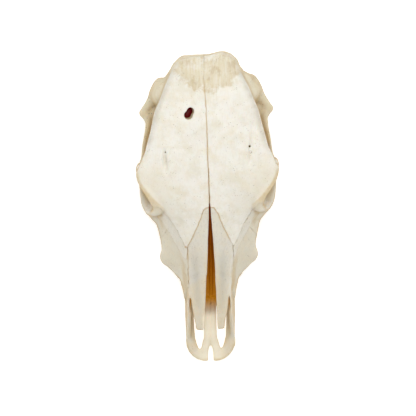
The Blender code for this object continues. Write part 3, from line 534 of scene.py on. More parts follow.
def unevenShapes():
    # all that differs from side to side, in order, as above
    yield fuse, ball(*unevenForms["pollBoss"]), 8
    yield fuse, ball(*unevenForms["shoulder"]), 6
    gapY = np.linspace(-200, 8, 30)
    shift = keyed(skullLines["median"], gapY)
    width = keyed(nasalShape["gapHalfWidth"], gapY)
    gap = np.concatenate([np.stack([shift + width, gapY], 1), np.stack([shift - width, gapY], 1)[::-1]])
    yield carve, planPrism(gap, 66, 200), 1
    for path in unevenForms["frontalHole"]:
        yield carve, strut(path, (0, 1, 0)), 1
    for path in unevenForms["browGrooves"]:
        yield carve, strut(path), 3
    for dent in unevenForms["dents"]:
        yield carve, ball(*dent), 3
    for x, y, size in unevenForms["foramina"]:
        top = keyed(skullLines["dorsal"], y) - 4
        path = [(x, y, top + 12, size, size), (x * 0.97, y + 2, top - 10, size, size)]
        yield carve, strut(path, (0, 1, 0)), 0.8


def wholeSkull():
    # one half and its mirror image, then the uneven shapes, the relief and the flat of the floor
    half = np.full([len(line) for line in halfLines], 40.0, np.float32)
    for change, shape, blend in sharedForms():
        change(half, halfLines, shape, blend)
    field = np.concatenate([half[::-1], half])
    for change, shape, blend in unevenShapes():
        change(field, fullLines, shape, blend)
    field += sum(height * ripple(fullLines, size, seed) for height, size, seed in unevenForms["relief"])
    return np.maximum(field, -fullZ)


# Sutures that part the bones, in the order of cutting. Each has the plan outline of the left
# bone, whether it ends at the midline, and the height and slope along y of its lower edge.
sutures = {
    "nasal": ([(6.5, -2), (8.5, -4.5), (12.5, -12), (21, -34), (30, -52), (34, -58), (34.5, -83),
               (34, -110), (34, -204), (-20, -204), (-20, -1)], True, 125.4, 0.396),
    "frontal": ([(120, 244), (120, 2.5), (77, 2.5), (66, -7), (52, -28), (36, -61), (-20, -61), (-20, 244)],
                True, 110.7, 0.12),
    "lacrimal": ([(34, -56), (36, -80), (52, -68), (84, -46), (124, -20), (124, 8), (74, 8), (62, -2),
                  (48, -22)], False, 97.0, 0.0),
    "zygomatic": ([(57, -42), (124, -42), (124, 99), (66, 99), (66, 4)], False, 56.0, 0.0),
    "temporal": ([(33.5, 98), (124, 98), (124, 196), (66, 182), (33.5, 174)], False, -20.0, 0.0),
    "incisive": ([(64, -262), (64, -108), (-20, -108), (-20, -262)], True, 257.0, 1.5),
    "maxilla": ([(124, -180), (124, 35), (-20, 35), (-20, -180)], True, -20.0, 0.0),
}
sutureShape = {
    "gap": 0.12, "wave": 0.9, "waveSize": 4.5, "occipitalY": 150,
    "fissure": [(-10, 1.6), (0, 1.2), (10, 0.7), (40, 0.35), (70, 0.45), (85, 0.2), (116, 0.1), (140, 0.0),
                (150, -1.2), (229, -1.6)],
    "fissureDepth": [(-10, 3), (20, 2), (50, 1.1), (120, 0.8), (229, 0.8)],
    "lean": {"zygomatic": (75, -0.45), "temporal": (90, -0.3)},  # height it turns about, shift along y
}
skew = 0.02  # the skull leans to one side: each point moves back by this share of its x


def sutureRegion(name, side, x, y, z, wave):
    # how deep a point lies inside one bone's share of the skull, negative outside it; both
    # bones of a pair share one wavy line on the midline
    outline, median, low, slope = sutures[name]
    shift = keyed(skullLines["median"], y) * np.clip(1.4 - np.abs(x) / 60, 0, 1)
    if name in sutureShape["lean"]:
        level, share = sutureShape["lean"][name]
        inside = -outlineDistance(side * x, y + share * (z - level), outline)
    else:
        inside = -outlineDistance(side * (x - shift)[:, :, 0], (y + 0 * x)[:, :, 0], outline)[:, :, None]
    inside = np.minimum(inside, (z - low - slope * y) / math.hypot(1, slope))
    inside = inside + wave * (np.abs(inside) < 6)
    return np.minimum(inside, side * (x - shift + 0.5 * wave)) if median else inside


def boneRegions(wave):
    # depth inside each bone's share, in the order of cutting, for the whole grid
    regions = {}
    for word, side in (("left", 1), ("right", -1)):
        for name in sutures:
            region = sutureRegion(name, side, fullX, fullY, fullZ, wave)
            regions[f"{name}_{word}"] = region.astype(np.float32)
    regions["occipital"] = np.broadcast_to(fullY - sutureShape["occipitalY"], wave.shape) + wave
    regions["sphenoid"] = np.full(wave.shape, 40, np.float32)
    return regions


def netSurface(field, lines):
    # one point in every cell that the surface crosses, at the mean of the crossings on its
    # edges, and one quad round every edge that it crosses, turned to face outwards. No surface
    # reaches the rim of the grid.
    ny, nz = field.shape[1:]
    inside = field < 0
    strides = np.array([(ny - 1) * (nz - 1), nz - 1, 1])
    places, quads = [], []
    for axis in range(3):
        b, c = (axis + 1) % 3, (axis + 2) % 3
        near = tuple(slice(None, -1) if a == axis else slice(None) for a in range(3))
        far = tuple(slice(1, None) if a == axis else slice(None) for a in range(3))
        crossed = inside[near] != inside[far]
        index = np.argwhere(crossed)
        start, end = field[near][crossed], field[far][crossed]
        place = index.astype(float)
        place[:, axis] += start / (start - end)
        corners = []
        for db, dc in ((-1, -1), (0, -1), (0, 0), (-1, 0)):
            cell = index.copy()
            cell[:, b] += db
            cell[:, c] += dc
            corners.append(cell @ strides)
        turned = end < 0
        corners = np.stack(corners, 1)
        corners[turned] = corners[turned][:, ::-1]
        places.append(np.repeat(place, 4, axis=0))
        quads.append(corners)
    quads = np.concatenate(quads)
    used, inverse = np.unique(quads.ravel(), return_inverse=True)
    places = np.concatenate(places)
    count = np.bincount(inverse, minlength=len(used))
    points = np.stack([np.bincount(inverse, places[:, a], len(used)) / count for a in range(3)], 1)
    origin = np.array([line[0] for line in lines])
    return points * step + origin, inverse.reshape(-1, 4)


def onEdges(points, first, second, lines):
    # moves points in the cells that two surfaces cross onto the line where both distances are
    # zero: the shortest step that cancels both, from their slopes there, taken twice
    near = np.maximum(*(np.abs(sampled(field, points, lines)) for field in (first, second))) < 0.6 * step
    moved = points[near]
    for _ in range(2):
        distances, slopes = [], []
        for field in (first, second):
            distances.append(sampled(field, moved, lines))
            slope = [sampled(field, moved + shift, lines) - sampled(field, moved - shift, lines)
                     for shift in 0.4 * step * np.eye(3)]
            slopes.append(np.stack(slope, 1) / (0.8 * step))
        (d1, d2), (n1, n2) = distances, slopes
        a, b, c = (n1 * n1).sum(1), (n1 * n2).sum(1), (n2 * n2).sum(1)
        scale = 1 / np.maximum(a * c - b * b, 0.15 * a * c + 1e-6)
        change = ((c * d1 - b * d2) * scale)[:, None] * n1 + ((a * d2 - b * d1) * scale)[:, None] * n2
        size = np.linalg.norm(change, axis=1)[:, None] + 1e-9
        moved = moved - change * np.minimum(1, 0.5 * step / size)
    points[near] = moved
    return points


def largestShell(points, quads):
    # keeps the shell with the most points: every point takes the lowest label round it, until
    # none changes
    label = np.arange(len(points))
    edges = np.concatenate([quads[:, [0, 1]], quads[:, [1, 2]], quads[:, [2, 3]], quads[:, [3, 0]]])
    while True:
        low = np.minimum(label[edges[:, 0]], label[edges[:, 1]])
        new = label.copy()
        np.minimum.at(new, edges[:, 0], low)
        np.minimum.at(new, edges[:, 1], low)
        new = new[new]
        if np.array_equal(new, label):
            break
        label = new
    biggest = np.bincount(label).argmax()
    keep = label == biggest
    renumber = np.cumsum(keep) - 1
    return points[keep], renumber[quads[keep[quads[:, 0]]]]


def placed(name, data):
    # a new object with this data, in the scene
    thing = bpy.data.objects.new(name, data)
    bpy.context.scene.collection.objects.link(thing)
    return thing


def meshPiece(name, points, faces, attributes):
    # puts numpy points and faces into a new mesh object at the origin, smooth shaded
    mesh = bpy.data.meshes.new(name)
    sides = faces.shape[1]
    mesh.vertices.add(len(points))
    mesh.vertices.foreach_set("co", (points * mm).astype(np.float32).ravel())
    mesh.loops.add(faces.size)
    mesh.loops.foreach_set("vertex_index", faces.astype(np.int32).ravel())
    mesh.polygons.add(len(faces))
    mesh.polygons.foreach_set("loop_start", np.arange(0, faces.size, sides, dtype=np.int32))
    mesh.polygons.foreach_set("loop_total", np.full(len(faces), sides, np.int32))
    mesh.update(calc_edges=True)
    mesh.polygons.foreach_set("use_smooth", np.ones(len(faces), bool))
    mesh.set_sharp_from_angle(angle=math.radians(55))
    for label, values in attributes.items():
        layer = mesh.attributes.new(label, "FLOAT", "POINT")
        layer.data.foreach_set("value", values.astype(np.float32))
    return placed(name, mesh)


def sampled(grid, points, lines=fullLines):
    # value of an array on the grid lines at points, mixed from the eight corners of the cell
    place = (points - [line[0] for line in lines]) / step
    cell = np.clip(np.floor(place).astype(int), 0, np.array(grid.shape) - 2)
    fx, fy, fz = (place - cell).T
    i, j, k = cell.T
    total = 0
    for di in (0, 1):
        for dj in (0, 1):
            for dk in (0, 1):
                weight = (fx if di else 1 - fx) * (fy if dj else 1 - fy) * (fz if dk else 1 - fz)
                total = total + weight * grid[i + di, j + dj, k + dk]
    return total


def rises(value, low, high):
    # rises from 0 at low to 1 at high, level at both ends
    t = np.clip((value - low) / (high - low), 0, 1)
    return t * t * (3 - 2 * t)


def falls(value, low, high):
    # from 1 at low to 0 at high
    return 1 - rises(value, low, high)


shading = {"close": 2.5, "broad": 6, "coverFrom": 3.0, "coverTo": 9.0, "coverLift": 3}

print("distance field")
skull = wholeSkull()
print("sutures", skull.shape)
wave = (sutureShape["wave"] * ripple(fullLines, sutureShape["waveSize"], 11)).astype(np.float32)
regions = boneRegions(wave)
solid = np.clip(0.5 - skull / step, 0, 1).astype(np.float32)
# share of bone in a small and in a wide neighbourhood, and where bone lies above: painted shade masks
closeShare, broadShare = (boxBlur(boxBlur(solid, radius), radius)
                          for radius in (shading["close"], shading["broad"]))
above = np.cumsum(solid[:, :, ::-1], axis=2)[:, :, ::-1] * step
covered = rises(above, shading["coverFrom"], shading["coverTo"])
covered = boxBlur(np.roll(covered, -int(round(shading["coverLift"] / step)), axis=2), shading["close"])


def bonePiece(name, taken):
    # one bone: the skull where it overlaps the bone's region, less the regions cut before it
    own = regions[name] - sutureShape["gap"] / 2
    if name.startswith("frontal"):
        groove = np.abs(fullX - keyed(skullLines["median"], fullY)) + 0.3 * wave
        groove = groove - keyed(sutureShape["fissure"], fullY)
        floor = keyed(skullLines["dorsal"], fullY) - keyed(sutureShape["fissureDepth"], fullY) - fullZ
        own = np.minimum(own, np.maximum(groove, floor))
    cut = np.maximum(-own, taken + sutureShape["gap"] / 2)
    bone = np.maximum(skull, cut)
    filled = np.argwhere(bone < 0)
    low, high = np.maximum(filled.min(0) - 1, 0), filled.max(0) + 2
    picks = tuple(slice(a, b) for a, b in zip(low, high))
    lines = [line[pick] for line, pick in zip(fullLines, picks)]
    points, quads = netSurface(np.pad(bone[picks], 1, constant_values=5), [line - step for line in lines])
    points, quads = largestShell(points, quads)
    points = onEdges(points, skull[picks], cut[picks], lines)
    edge = np.minimum(np.abs(sampled(regions[name], points)), np.abs(sampled(taken, points)))
    close, broad = sampled(closeShare, points), sampled(broadShare, points)
    x, y, z = points.T
    aside = np.abs(x)
    normal = -np.stack([sampled(slope, points) for slope in shareSlopes], 1)
    normal /= np.linalg.norm(normal, axis=1)[:, None] + 1e-9
    # how far the surface looks up: it whitens the bone, partly as sun bleaching and partly as painted light
    # from above
    sky = rises(normal[:, 2], 0.1, 0.75)
    rise = z - keyed(skullLines["dorsal"], y)
    outward = aside - keyed(skullLines["roofHalfWidth"], y)
    stainLine = keyed(stainShape["boundary"], x)
    shaft = np.hypot(x - holeShape["x"], (y - holeShape["y"]) * 0.75)
    upperFace = rises(rise, -22, -14)
    roofed = upperFace * falls(y, 176, 204) * falls(aside, 30, 36)
    attributes = {
        "seam": np.maximum(falls(edge, 0.2, 0.9 + 0.5 * roofed) * (0.16 + 0.84 * roofed),
                           falls(np.hypot(x + 35, y + 60), 0.8, 2.6) * upperFace),
        "hollow": rises(close, 0.52, 0.74),
        # thin bone, which gets a painted amber glow for light passing through it
        "thin": np.maximum(rises(0.36 - broad, 0.0, 0.22), falls(y, -215, -190) * rises(aside, 8, 18)),
        "covered": sampled(covered, points),
        "sky": sky,
        # painted light in the nose: amber for light bounced in and through thin walls, darker far back as
        # painted shade
        "amber": sampled(nearAirway, points) * rises(y, -167, -138) * falls(y, 18, 34),
        "deep": rises(y, -150, 5),
        "hole": falls(shaft, 8.5, 11) * falls(rise, -12, -8.5),
        "brim": falls(shaft, 9, 12) * falls(rise, -2.6, -1.4),
        # painted shade inside the forehead's edge, where the plate curves down
        "margin": rises(outward, -11, -1.5) * rises(y, 60, 110) * rises(rise, -26, -16),
        "flank": rises(outward, -1.2, 1.2) * rises(y, 86, 100) * rises(z, 40, 60),
        "frontEdge": rises(np.hypot((aside - 12) / 25, (y + 205) / 31), 0.80, 1.0) * falls(y, -216, -198),
        "browEdge": rises(outward, -4.5, -0.5) * falls(y, 46, 60) * rises(y, -8, 10) * rises(rise, -32, -18),
        # cream colour of the palatine processes, which also glow as painted light
        "cream": falls(aside, 8, 30) * falls(y, -168, -153) * falls(z, 40, 50),
        # a bright painted glow on the palate between the incisive arms
        "lift": falls(aside, 9, 13) * rises(y, -208, -190) * falls(y, -169, -158) * sky,
        # painted shade on the walls of the incisive arms that face into the nose opening
        "innerArm": rises(-normal[:, 0] * np.sign(x), 0.0, 0.6) * rises(aside, 15, 21)
                    * falls(y, -160, -135) * falls(z, 55, 75),
        # painted shade in the orbit hollow under the brow
        "socket": falls(outward, 2, 14) * rises(-rise, 8, 20) * rises(y, -14, 2)
                  * falls(y, 50, 62) * rises(aside, 60, 72),
        "brow": rises(aside, 30, 88) * falls(y, 30, 90) * rises(y, -50, 0) * rises(rise, -24, -14),
        # painted shade in the shallow dish along each nasal bone
        "valley": np.exp(-((aside / keyed(nasalShape["outerX"], y) - 0.62) / 0.2) ** 2)
                  * rises(y, -170, -140) * falls(y, -90, -55) * rises(rise, -14, -9),
        "stain": rises(y - stainLine + 3 * sampled(wave, points), -18, 12) * rises(normal[:, 2], -0.2, 0.3),
    }
    points[:, 1] += skew * points[:, 0]
    return meshPiece(name + "_bone", points, quads, attributes)


holeShape = {"x": -24.5, "y": 140}
stainShape = {"boundary": [(-60, 214), (-48, 205), (-41, 202), (-26, 191), (-13, 182), (-2, 182), (15, 175),
                           (22, 184), (36, 185), (44, 198), (60, 212)]}
shareSlopes = np.gradient(closeShare)
nearAirway = falls(airway[2](fullX, fullY, fullZ), 1.0, 3.0).astype(np.float32)

pieces = {}
taken = np.full(skull.shape, -40, np.float32)
for name in regions:
    pieces[name] = bonePiece(name, taken)
    np.maximum(taken, regions[name], out=taken)
    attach(pieces[name], "root")
    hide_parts(name)
print("bones", sum(len(piece.data.polygons) for piece in pieces.values()))

# Cheek teeth. Each is a ring of points carried down from the root to the crown, then inwards
# over the chewing face, whose height follows two crescents of enamel.
toothShape = {
    "row": {"p2": (15, 13), "p3": (18, 16), "p4": (19, 19), "m1": (24, 22), "m2": (27, 23), "m3": (28, 22)},
    "frontY": -110,
    "rowX": [(-110, 36), (-85, 43), (-55, 48), (-20, 50.5), (20, 48)],
    "gap": 0.8, "rootZ": 37, "crownZ": 17, "sides": 72, "levels": 16, "rings": 18,
    "dentineDepth": 1.1, "cupDepth": 3.2, "waist": 0.14, "ribs": 0.035,
}


def toothPlaces():
    # size, middle and turn of each tooth: one behind the other, turned with the slope of the row
    front = toothShape["frontY"]
    for length, width in toothShape["row"].values():
        middle = front + length / 2
        lean = keyed(toothShape["rowX"], middle + 5) - keyed(toothShape["rowX"], middle - 5)
        yield length, width, keyed(toothShape["rowX"], middle), middle, math.atan2(lean, 10)
        front += length


def toothSurface(length, width, centreX, centreY, turn):
    # outline: a squared oval, drawn in between the two lobes and ribbed on its cheek side;
    # height over the chewing face: enamel stands at the floor, dentine and cups lie higher
    angle = np.arange(toothShape["sides"]) * 2 * math.pi / toothShape["sides"]
    along = np.sign(np.sin(angle)) * np.abs(np.sin(angle)) ** 0.7 * (length - toothShape["gap"]) / 2
    across = np.sign(np.cos(angle)) * np.abs(np.cos(angle)) ** 0.7 * width / 2
    lobes = 2 if length > 20 else 1
    across = across * (1 - toothShape["waist"] * (lobes - 1) * np.cos(2 * math.pi * along / length) ** 3)
    across = across * (1 + toothShape["ribs"] * np.cos(6 * lobes * math.pi * along / length))
    down = np.linspace(0, 1, toothShape["levels"])
    z = toothShape["rootZ"] * (1 - down) + 0.55 * down
    swell = keyed([(0, 0.94), (toothShape["crownZ"], 1.0), (toothShape["rootZ"], 0.84)], z)
    sideRings = np.stack([across * swell[:, None], along * swell[:, None], z[:, None] + 0 * across], 2)
    share = np.linspace(0.975, 0.02, toothShape["rings"])[:, None] * 0.94
    faceAcross, faceAlong = across[None] * share, along[None] * share
    lobe = np.abs(np.abs(faceAlong) - length / 4) if lobes == 2 else np.abs(faceAlong)
    cupLength = 0.17 * length * (1 if lobes == 2 else 1.6)
    cup = np.hypot((faceAcross - 0.04 * width) / (0.25 * width), lobe / cupLength)
    crescent = np.exp(-((cup - 1) / 0.3) ** 2)
    rim = rises(share, 0.8, 0.9)
    depth = toothShape["dentineDepth"] * (1 - np.maximum(crescent, rim))
    depth = depth + toothShape["cupDepth"] * falls(cup, 0.45, 0.8)
    faceRings = np.stack([faceAcross, faceAlong, depth], 2)
    rings = np.concatenate([sideRings, faceRings])
    x = centreX + rings[..., 0] * math.cos(turn) + rings[..., 1] * math.sin(turn)
    y = centreY - rings[..., 0] * math.sin(turn) + rings[..., 1] * math.cos(turn)
    enamel = np.concatenate([np.ones(sideRings.shape[:2]), np.maximum(crescent, rim) + 0 * faceAcross])
    pit = np.concatenate([np.zeros(sideRings.shape[:2]), falls(cup, 0.5, 0.9)])
    return np.stack([x, y, rings[..., 2]], 2), enamel, pit


def closedRings(rings):
    # quads between neighbouring rings of a tube, and a fan of quads over each end ring
    count, sides = rings.shape[:2]
    i = np.arange(count - 1)[:, None] * sides
    j = np.arange(sides)[None]
    k = (j + 1) % sides
    faces = np.stack([i + j, i + k, i + sides + k, i + sides + j], 2).reshape(-1, 4)
    pair = np.arange(sides // 2 - 1)
    cap = np.stack([pair, pair + 1, sides - 2 - pair, sides - 1 - pair], 1)
    return np.concatenate([faces, cap[:, ::-1], cap + (count - 1) * sides])


def toothRow(side, word):
    # the teeth of one side as one piece
    surfaces = [toothSurface(*place) for place in toothPlaces()]
    rings, enamel, pit = (np.stack(parts) for parts in zip(*surfaces))
    starts = np.arange(len(rings))[:, None, None] * enamel[0].size
    points, faces = rings.reshape(-1, 3), (closedRings(rings[0])[None] + starts).reshape(-1, 4)
    points[:, 0] *= side
    points[:, 1] += skew * points[:, 0]
    if side < 0:
        faces = faces[:, ::-1]
    piece = meshPiece(f"cheek_teeth_{word}", points, faces, {"enamel": enamel.ravel(), "pit": pit.ravel()})
    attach(piece, "root")
    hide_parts(f"maxilla_{word}")
    return piece


teeth = [toothRow(1, "left"), toothRow(-1, "right")]
print("teeth")

# Thin bones inside the nose, seen through the gap: the vomer, a keel on the midline, and the
# turbinates, which are scrolls of thin bone. Each is a profile carried along the nose.
vomerShape = {"frontY": -140, "backY": 30, "halfWidth": 1.3, "foot": 4.0, "count": 60,
              "height": [(-140, 7), (-120, 15), (-60, 26), (0, 30), (30, 24)]}
scrollShape = {"count": 50, "turnCount": 40, "halfThickness": 0.55, "shrink": 0.72, "shiftX": 1.5}
turbinates = {
    "ventral": {"frontY": -128, "backY": -22, "x": 15.5, "z": [(-128, 56), (-80, 66), (-22, 76)],
                "radius": [(-128, 4), (-105, 9), (-60, 10.5), (-22, 8)], "turns": 1.6},
    "dorsal": {"frontY": -120, "backY": -15, "x": 13, "z": [(-120, 80), (-80, 92), (-15, 104)],
               "radius": [(-120, 3), (-95, 6), (-50, 7), (-15, 6)], "turns": 1.2},
}


def carriedProfile(name, rings):
    # a piece from rings of points that are already placed along a path, turned to face outwards:
    # the corners of all faces together have to span a positive volume
    points = rings.reshape(-1, 3).copy()
    points[:, 1] += skew * points[:, 0]
    faces = closedRings(rings)
    a, b, c = (points[faces[:, i]] for i in range(3))
    if (np.cross(b - a, c - a) * a).sum() < 0:
        faces = faces[:, ::-1]
    piece = meshPiece(name, points, faces, {"deep": rises(points[:, 1], -150, 5)})
    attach(piece, "root")
    return piece


def vomer():
    # section: a keel of constant thickness that spreads to a foot, as high as the curve says
    y = np.linspace(vomerShape["frontY"], vomerShape["backY"], vomerShape["count"])
    floor = keyed(nasalShape["cavity"][1], y) - 3
    height = keyed(vomerShape["height"], y)
    share = np.array([0, 0.15, 0.4, 0.8, 1.0, 1.0, 0.8, 0.4, 0.15, 0])
    side = np.array([1, 1, 1, 1, 0.6, -0.6, -1, -1, -1, -1])
    spread = vomerShape["halfWidth"] + vomerShape["foot"] * (1 - share) ** 3
    x = keyed(skullLines["median"], y)[:, None] + side[None] * spread[None]
    z = floor[:, None] + share[None] * height[:, None]
    return carriedProfile("vomer", np.stack([x, y[:, None] + 0 * x, z], 2))


def turbinate(kind, side, word):
    # section: a spiral band; radius shrinks evenly with the turn, and the band has two faces
    shape = turbinates[kind]
    y = np.linspace(shape["frontY"], shape["backY"], scrollShape["count"])[:, None]
    turn = np.linspace(0, 1, scrollShape["turnCount"])
    wall = np.repeat([1, -1], len(turn)) * scrollShape["halfThickness"]
    turn = np.concatenate([turn, turn[::-1]])
    angle = turn * shape["turns"] * 2 * math.pi
    radius = keyed(shape["radius"], y) * (1 - scrollShape["shrink"] * turn) + wall
    x = side * (shape["x"] + scrollShape["shiftX"] + radius * np.cos(angle))
    z = keyed(shape["z"], y) + radius * np.sin(angle)
    return carriedProfile(f"{kind}_turbinate_{word}", np.stack([x, y + 0 * x, z], 2))


innerBones = [vomer()]
for kind in turbinates:
    innerBones += [turbinate(kind, 1, "left"), turbinate(kind, -1, "right")]
print("inner bones")

# Finish. Colours are linear RGB.
# painted shade: the shade, shadow, margin, socket, arm and rim colours; painted light: the amber and lifted
# colours
boneColours = {
    "white": (0.90, 0.872, 0.79), "tan": (0.62, 0.52, 0.33), "shade": (0.42, 0.34, 0.22),
    "pore": (0.18, 0.11, 0.05), "seam": (0.46, 0.28, 0.08), "translucent": (0.80, 0.62, 0.34),
    "stain": (0.74, 0.65, 0.45), "blotch": (0.56, 0.43, 0.25), "maroon": (0.11, 0.001, 0.002),
    "cream": (0.83, 0.755, 0.58), "groove": (0.50, 0.47, 0.40), "rim": (0.52, 0.34, 0.12),
    "shadow": (0.55, 0.37, 0.14), "socket": (0.56, 0.42, 0.20), "arm": (0.62, 0.49, 0.27),
    "mottle": (0.78, 0.72, 0.56), "dust": (0.66, 0.60, 0.48), "margin": (0.62, 0.57, 0.47),
    "flank": (0.73, 0.65, 0.46), "ochre": (0.66, 0.50, 0.25), "amberDeepShade": (0.40, 0.075, 0.001),
    "amberPaleLit": (0.60, 0.27, 0.004), "amberStreak": (0.66, 0.34, 0.02), "lifted": (2.6, 2.4, 1.9),
}


def withAlpha(value):
    # a colour gets a fourth number, any other value stays as it is
    return (*value, 1) if isinstance(value, tuple) else value


def nodeTools(tree):
    # short ways to add nodes to one tree; each returns the socket that carries its result
    def add(kind, **settings):
        node = tree.nodes.new(kind)
        for key, value in settings.items():
            setattr(node, key, value)
        return node

    def link(value, socket):
        # a socket or the name of an attribute is wired up, any other value is set
        if isinstance(value, str):
            value = add("ShaderNodeAttribute", attribute_name=value).outputs["Fac"]
        if isinstance(value, bpy.types.NodeSocket):
            tree.links.new(value, socket)
        else:
            socket.default_value = withAlpha(value)

    def maths(operation, a, b):
        node = add("ShaderNodeMath", operation=operation)
        link(a, node.inputs[0])
        link(b, node.inputs[1])
        return node.outputs[0]

    def times(a, b):
        return maths("MULTIPLY", a, b)

    def mixed(share, a, b):
        node = add("ShaderNodeMix", data_type="RGBA")
        for place, value in ((0, share), (6, a), (7, b)):
            link(value, node.inputs[place])
        return node.outputs[2]

    def ranged(value, low, high, bottom=0.0, top=1.0):
        node = add("ShaderNodeMapRange", interpolation_type="SMOOTHSTEP")
        for place, number in enumerate((value, low, high, bottom, top)):
            link(number, node.inputs[place])
        return node.outputs[0]

    def noise(where, scale, detail=3.0, roughness=0.55, distortion=0.0):
        node = add("ShaderNodeTexNoise")
        for key, value in (("Vector", where), ("Scale", scale), ("Detail", detail), ("Roughness", roughness),
                           ("Distortion", distortion)):
            link(value, node.inputs[key])
        return node.outputs["Fac"]

    def cells(where, scale):
        node = add("ShaderNodeTexVoronoi")
        link(where, node.inputs["Vector"])
        link(scale, node.inputs["Scale"])
        return node.outputs["Distance"]

    def stretched(where, scale):
        node = add("ShaderNodeMapping")
        link(where, node.inputs["Vector"])
        node.inputs["Scale"].default_value = scale
        return node.outputs["Vector"]

    return link, maths, times, mixed, ranged, noise, cells, stretched


def newFinish(name, inputs, glow=True):
    # an empty finish group: a socket for every input, and colour, roughness, height and glow out
    group = bpy.data.node_groups.new(name, "ShaderNodeTree")
    for word, value in inputs.items():
        kind = "NodeSocketColor" if isinstance(value, tuple) else "NodeSocketFloat"
        socket = group.interface.new_socket(word, in_out="INPUT", socket_type=kind)
        socket.default_value = withAlpha(value)
    for word in ("Colour", "Roughness", "Height", "Glow")[:4 if glow else 3]:
        kind = "NodeSocketColor" if word in ("Colour", "Glow") else "NodeSocketFloat"
        group.interface.new_socket(word, in_out="OUTPUT", socket_type=kind)
    where = group.nodes.new("ShaderNodeTexCoord").outputs["Object"]
    return group, group.nodes.new("NodeGroupInput").outputs, group.nodes.new("NodeGroupOutput").inputs, where


def boneFinish():
    # colour, roughness and relief of bleached bone. Colour goes from tan on the sides to white
    # where the surface looks up, sun bleaching together with painted light from above, then come
    # pores, stains, seams, painted shade in hollows, under overhangs, in the orbits and along edges,
    # a painted glow at thin edges and painted amber light on the inner walls of the nose
    group, inputs, outputs, where = newFinish("boneFinish", {
        "White": boneColours["white"], "Tan": boneColours["tan"], "BleachAndTopLight": 1.0, "Pores": 0.5, "Grain": 0.5})
    link, maths, times, mixed, ranged, noise, cells, stretched = nodeTools(group)
    cloud = noise(where, 16, 4)
    mottle = noise(where, 75, 4, 0.6)
    patches = noise(where, 42, 6, 0.68)
    fine = noise(where, 420, 3, 0.6)
    grain = noise(stretched(where, (1.0, 0.16, 1.0)), 520, 3, 0.6)
    fibres = noise(stretched(where, (1.0, 0.12, 0.3)), 330, 4, 0.65, 0.4)
    blotches = noise(where, 62, 3, 0.6)

    def swing(value, share):
        # a noise as a change up and down
        return times(maths("SUBTRACT", value, 0.5), share)

    def mottled(value, low, high):
        # a value broken up by the mottle
        return times(value, ranged(mottle, 0.3, 0.7, low, high))

    def layered(colour, *layers):
        # layers of (share, colour name), one over the other
        for share, name in layers:
            colour = mixed(share, colour, boneColours[name])
        return colour

    # white where the surface looks up, tan on the sides: sun bleaching with painted top light and painted
    # side shade
    topLightAndBleach = maths("ADD", times("sky", inputs["BleachAndTopLight"]), swing(cloud, 0.5))
    # painted amber glow of light through thin edges, painted brown shade on walls facing away from above
    edge = times("thin", ranged(mottle, 0.2, 0.7, 0.35, 0.8))
    rim = times(maths("MAXIMUM", edge, 0.5), ranged("sky", 0.02, 0.5, 1.0, 0.0))
    colour = layered(
        mixed(ranged(topLightAndBleach, 0.12, 0.62), inputs["Tan"], inputs["White"]),
        (ranged(patches, 0.42, 0.7, 0.0, 0.6), "mottle"),
        (times(ranged(grain, 0.45, 0.75, 0.0, 0.3), inputs["Grain"]), "groove"),
        (times(ranged(mottle, 0.42, 0.75), 0.16), "translucent"),
        (times(ranged(cloud, 0.5, 0.72), 0.20), "dust"),
        # painted shade inside the forehead's edge
        (mottled("margin", 0.35, 0.8), "margin"),
        (mottled("flank", 0.75, 1.0), "flank"),
        (times("brow", 0.5), "cream"),
        # painted shade in the shallow dish of the nasal bones
        (times("valley", 0.42), "groove"),
        (times("hollow", 0.45), "shade"),
        (times("covered", 0.65), "shadow"),
        # painted shade in the orbit hollows
        (mottled("socket", 0.45, 0.75), "socket"),
        # painted shade on the inward walls of the incisive arms
        (times("innerArm", 0.6), "arm"),
        # painted glow at thin edges and painted shade on walls facing away from the light above
        (times(edge, 0.5), "translucent"),
        (times(rim, 0.85), "rim"))

    frayed = times(ranged(maths("ADD", "stain", swing(patches, 3.2)), 0.3, 0.95), ranged("stain", 0.0, 0.3))
    fringe = times(times(frayed, maths("SUBTRACT", 1.0, "stain")), 2.0)
    spots = maths("MAXIMUM", times(frayed, ranged(blotches, 0.5, 0.66, 0.0, 0.55)), times(fringe, 0.35))
    sparse = ranged(noise(where, 110, 3), 0.48, 0.66)
    pores = times(times(ranged(cells(where, 330), 0.10, 0.28, 1.0, 0.0), sparse), inputs["Pores"])
    colour = layered(
        colour,
        (times(frayed, ranged(fibres, 0.35, 0.62, 0.35, 0.9)), "stain"),
        (times(spots, ranged(fibres, 0.35, 0.62, 0.5, 1.0)), "blotch"),
        (pores, "pore"))

    # painted light of the inner nose: amber for bounced light and light through thin bone, painted shade far
    # inside
    inside = layered(
        mixed("deep", boneColours["amberPaleLit"], boneColours["amberDeepShade"]),
        (ranged(grain, 0.4, 0.75, 0.0, 0.3), "amberStreak"))
    ochre = maths("MAXIMUM", times("frontEdge", 0.6), times("browEdge", 0.7))
    colour = layered(
        mixed("amber", colour, inside),
        (times("seam", 0.72), "seam"),
        (times("cream", 0.75), "cream"),
        (mottled(ochre, 0.6, 1.0), "ochre"),
        ("brim", "tan"),
        ("hole", "maroon"))
    link(colour, outputs["Colour"])

    # painted light: nose, cream palate, hole and seams glow in their own colour; the palate gets a bright
    # glow
    lit = "amber"
    for name in ("cream", "hole", "seam"):
        lit = maths("MAXIMUM", lit, name)
    glow = mixed(lit, (0.0, 0.0, 0.0), colour)
    link(layered(glow, (times("lift", 0.7), "lifted")), outputs["Glow"])
    link(maths("ADD", mottled(1.0, 0.42, 0.62), times("hollow", 0.15)), outputs["Roughness"])

    height = swing(mottle, 0.7)
    for part in (swing(patches, 0.9), swing(fine, 0.22), times(times(grain, inputs["Grain"]), 0.35),
                 times(times(fibres, "stain"), 0.7)):
        height = maths("ADD", height, part)
    link(maths("SUBTRACT", height, times(pores, 0.8)), outputs["Height"])
    return group


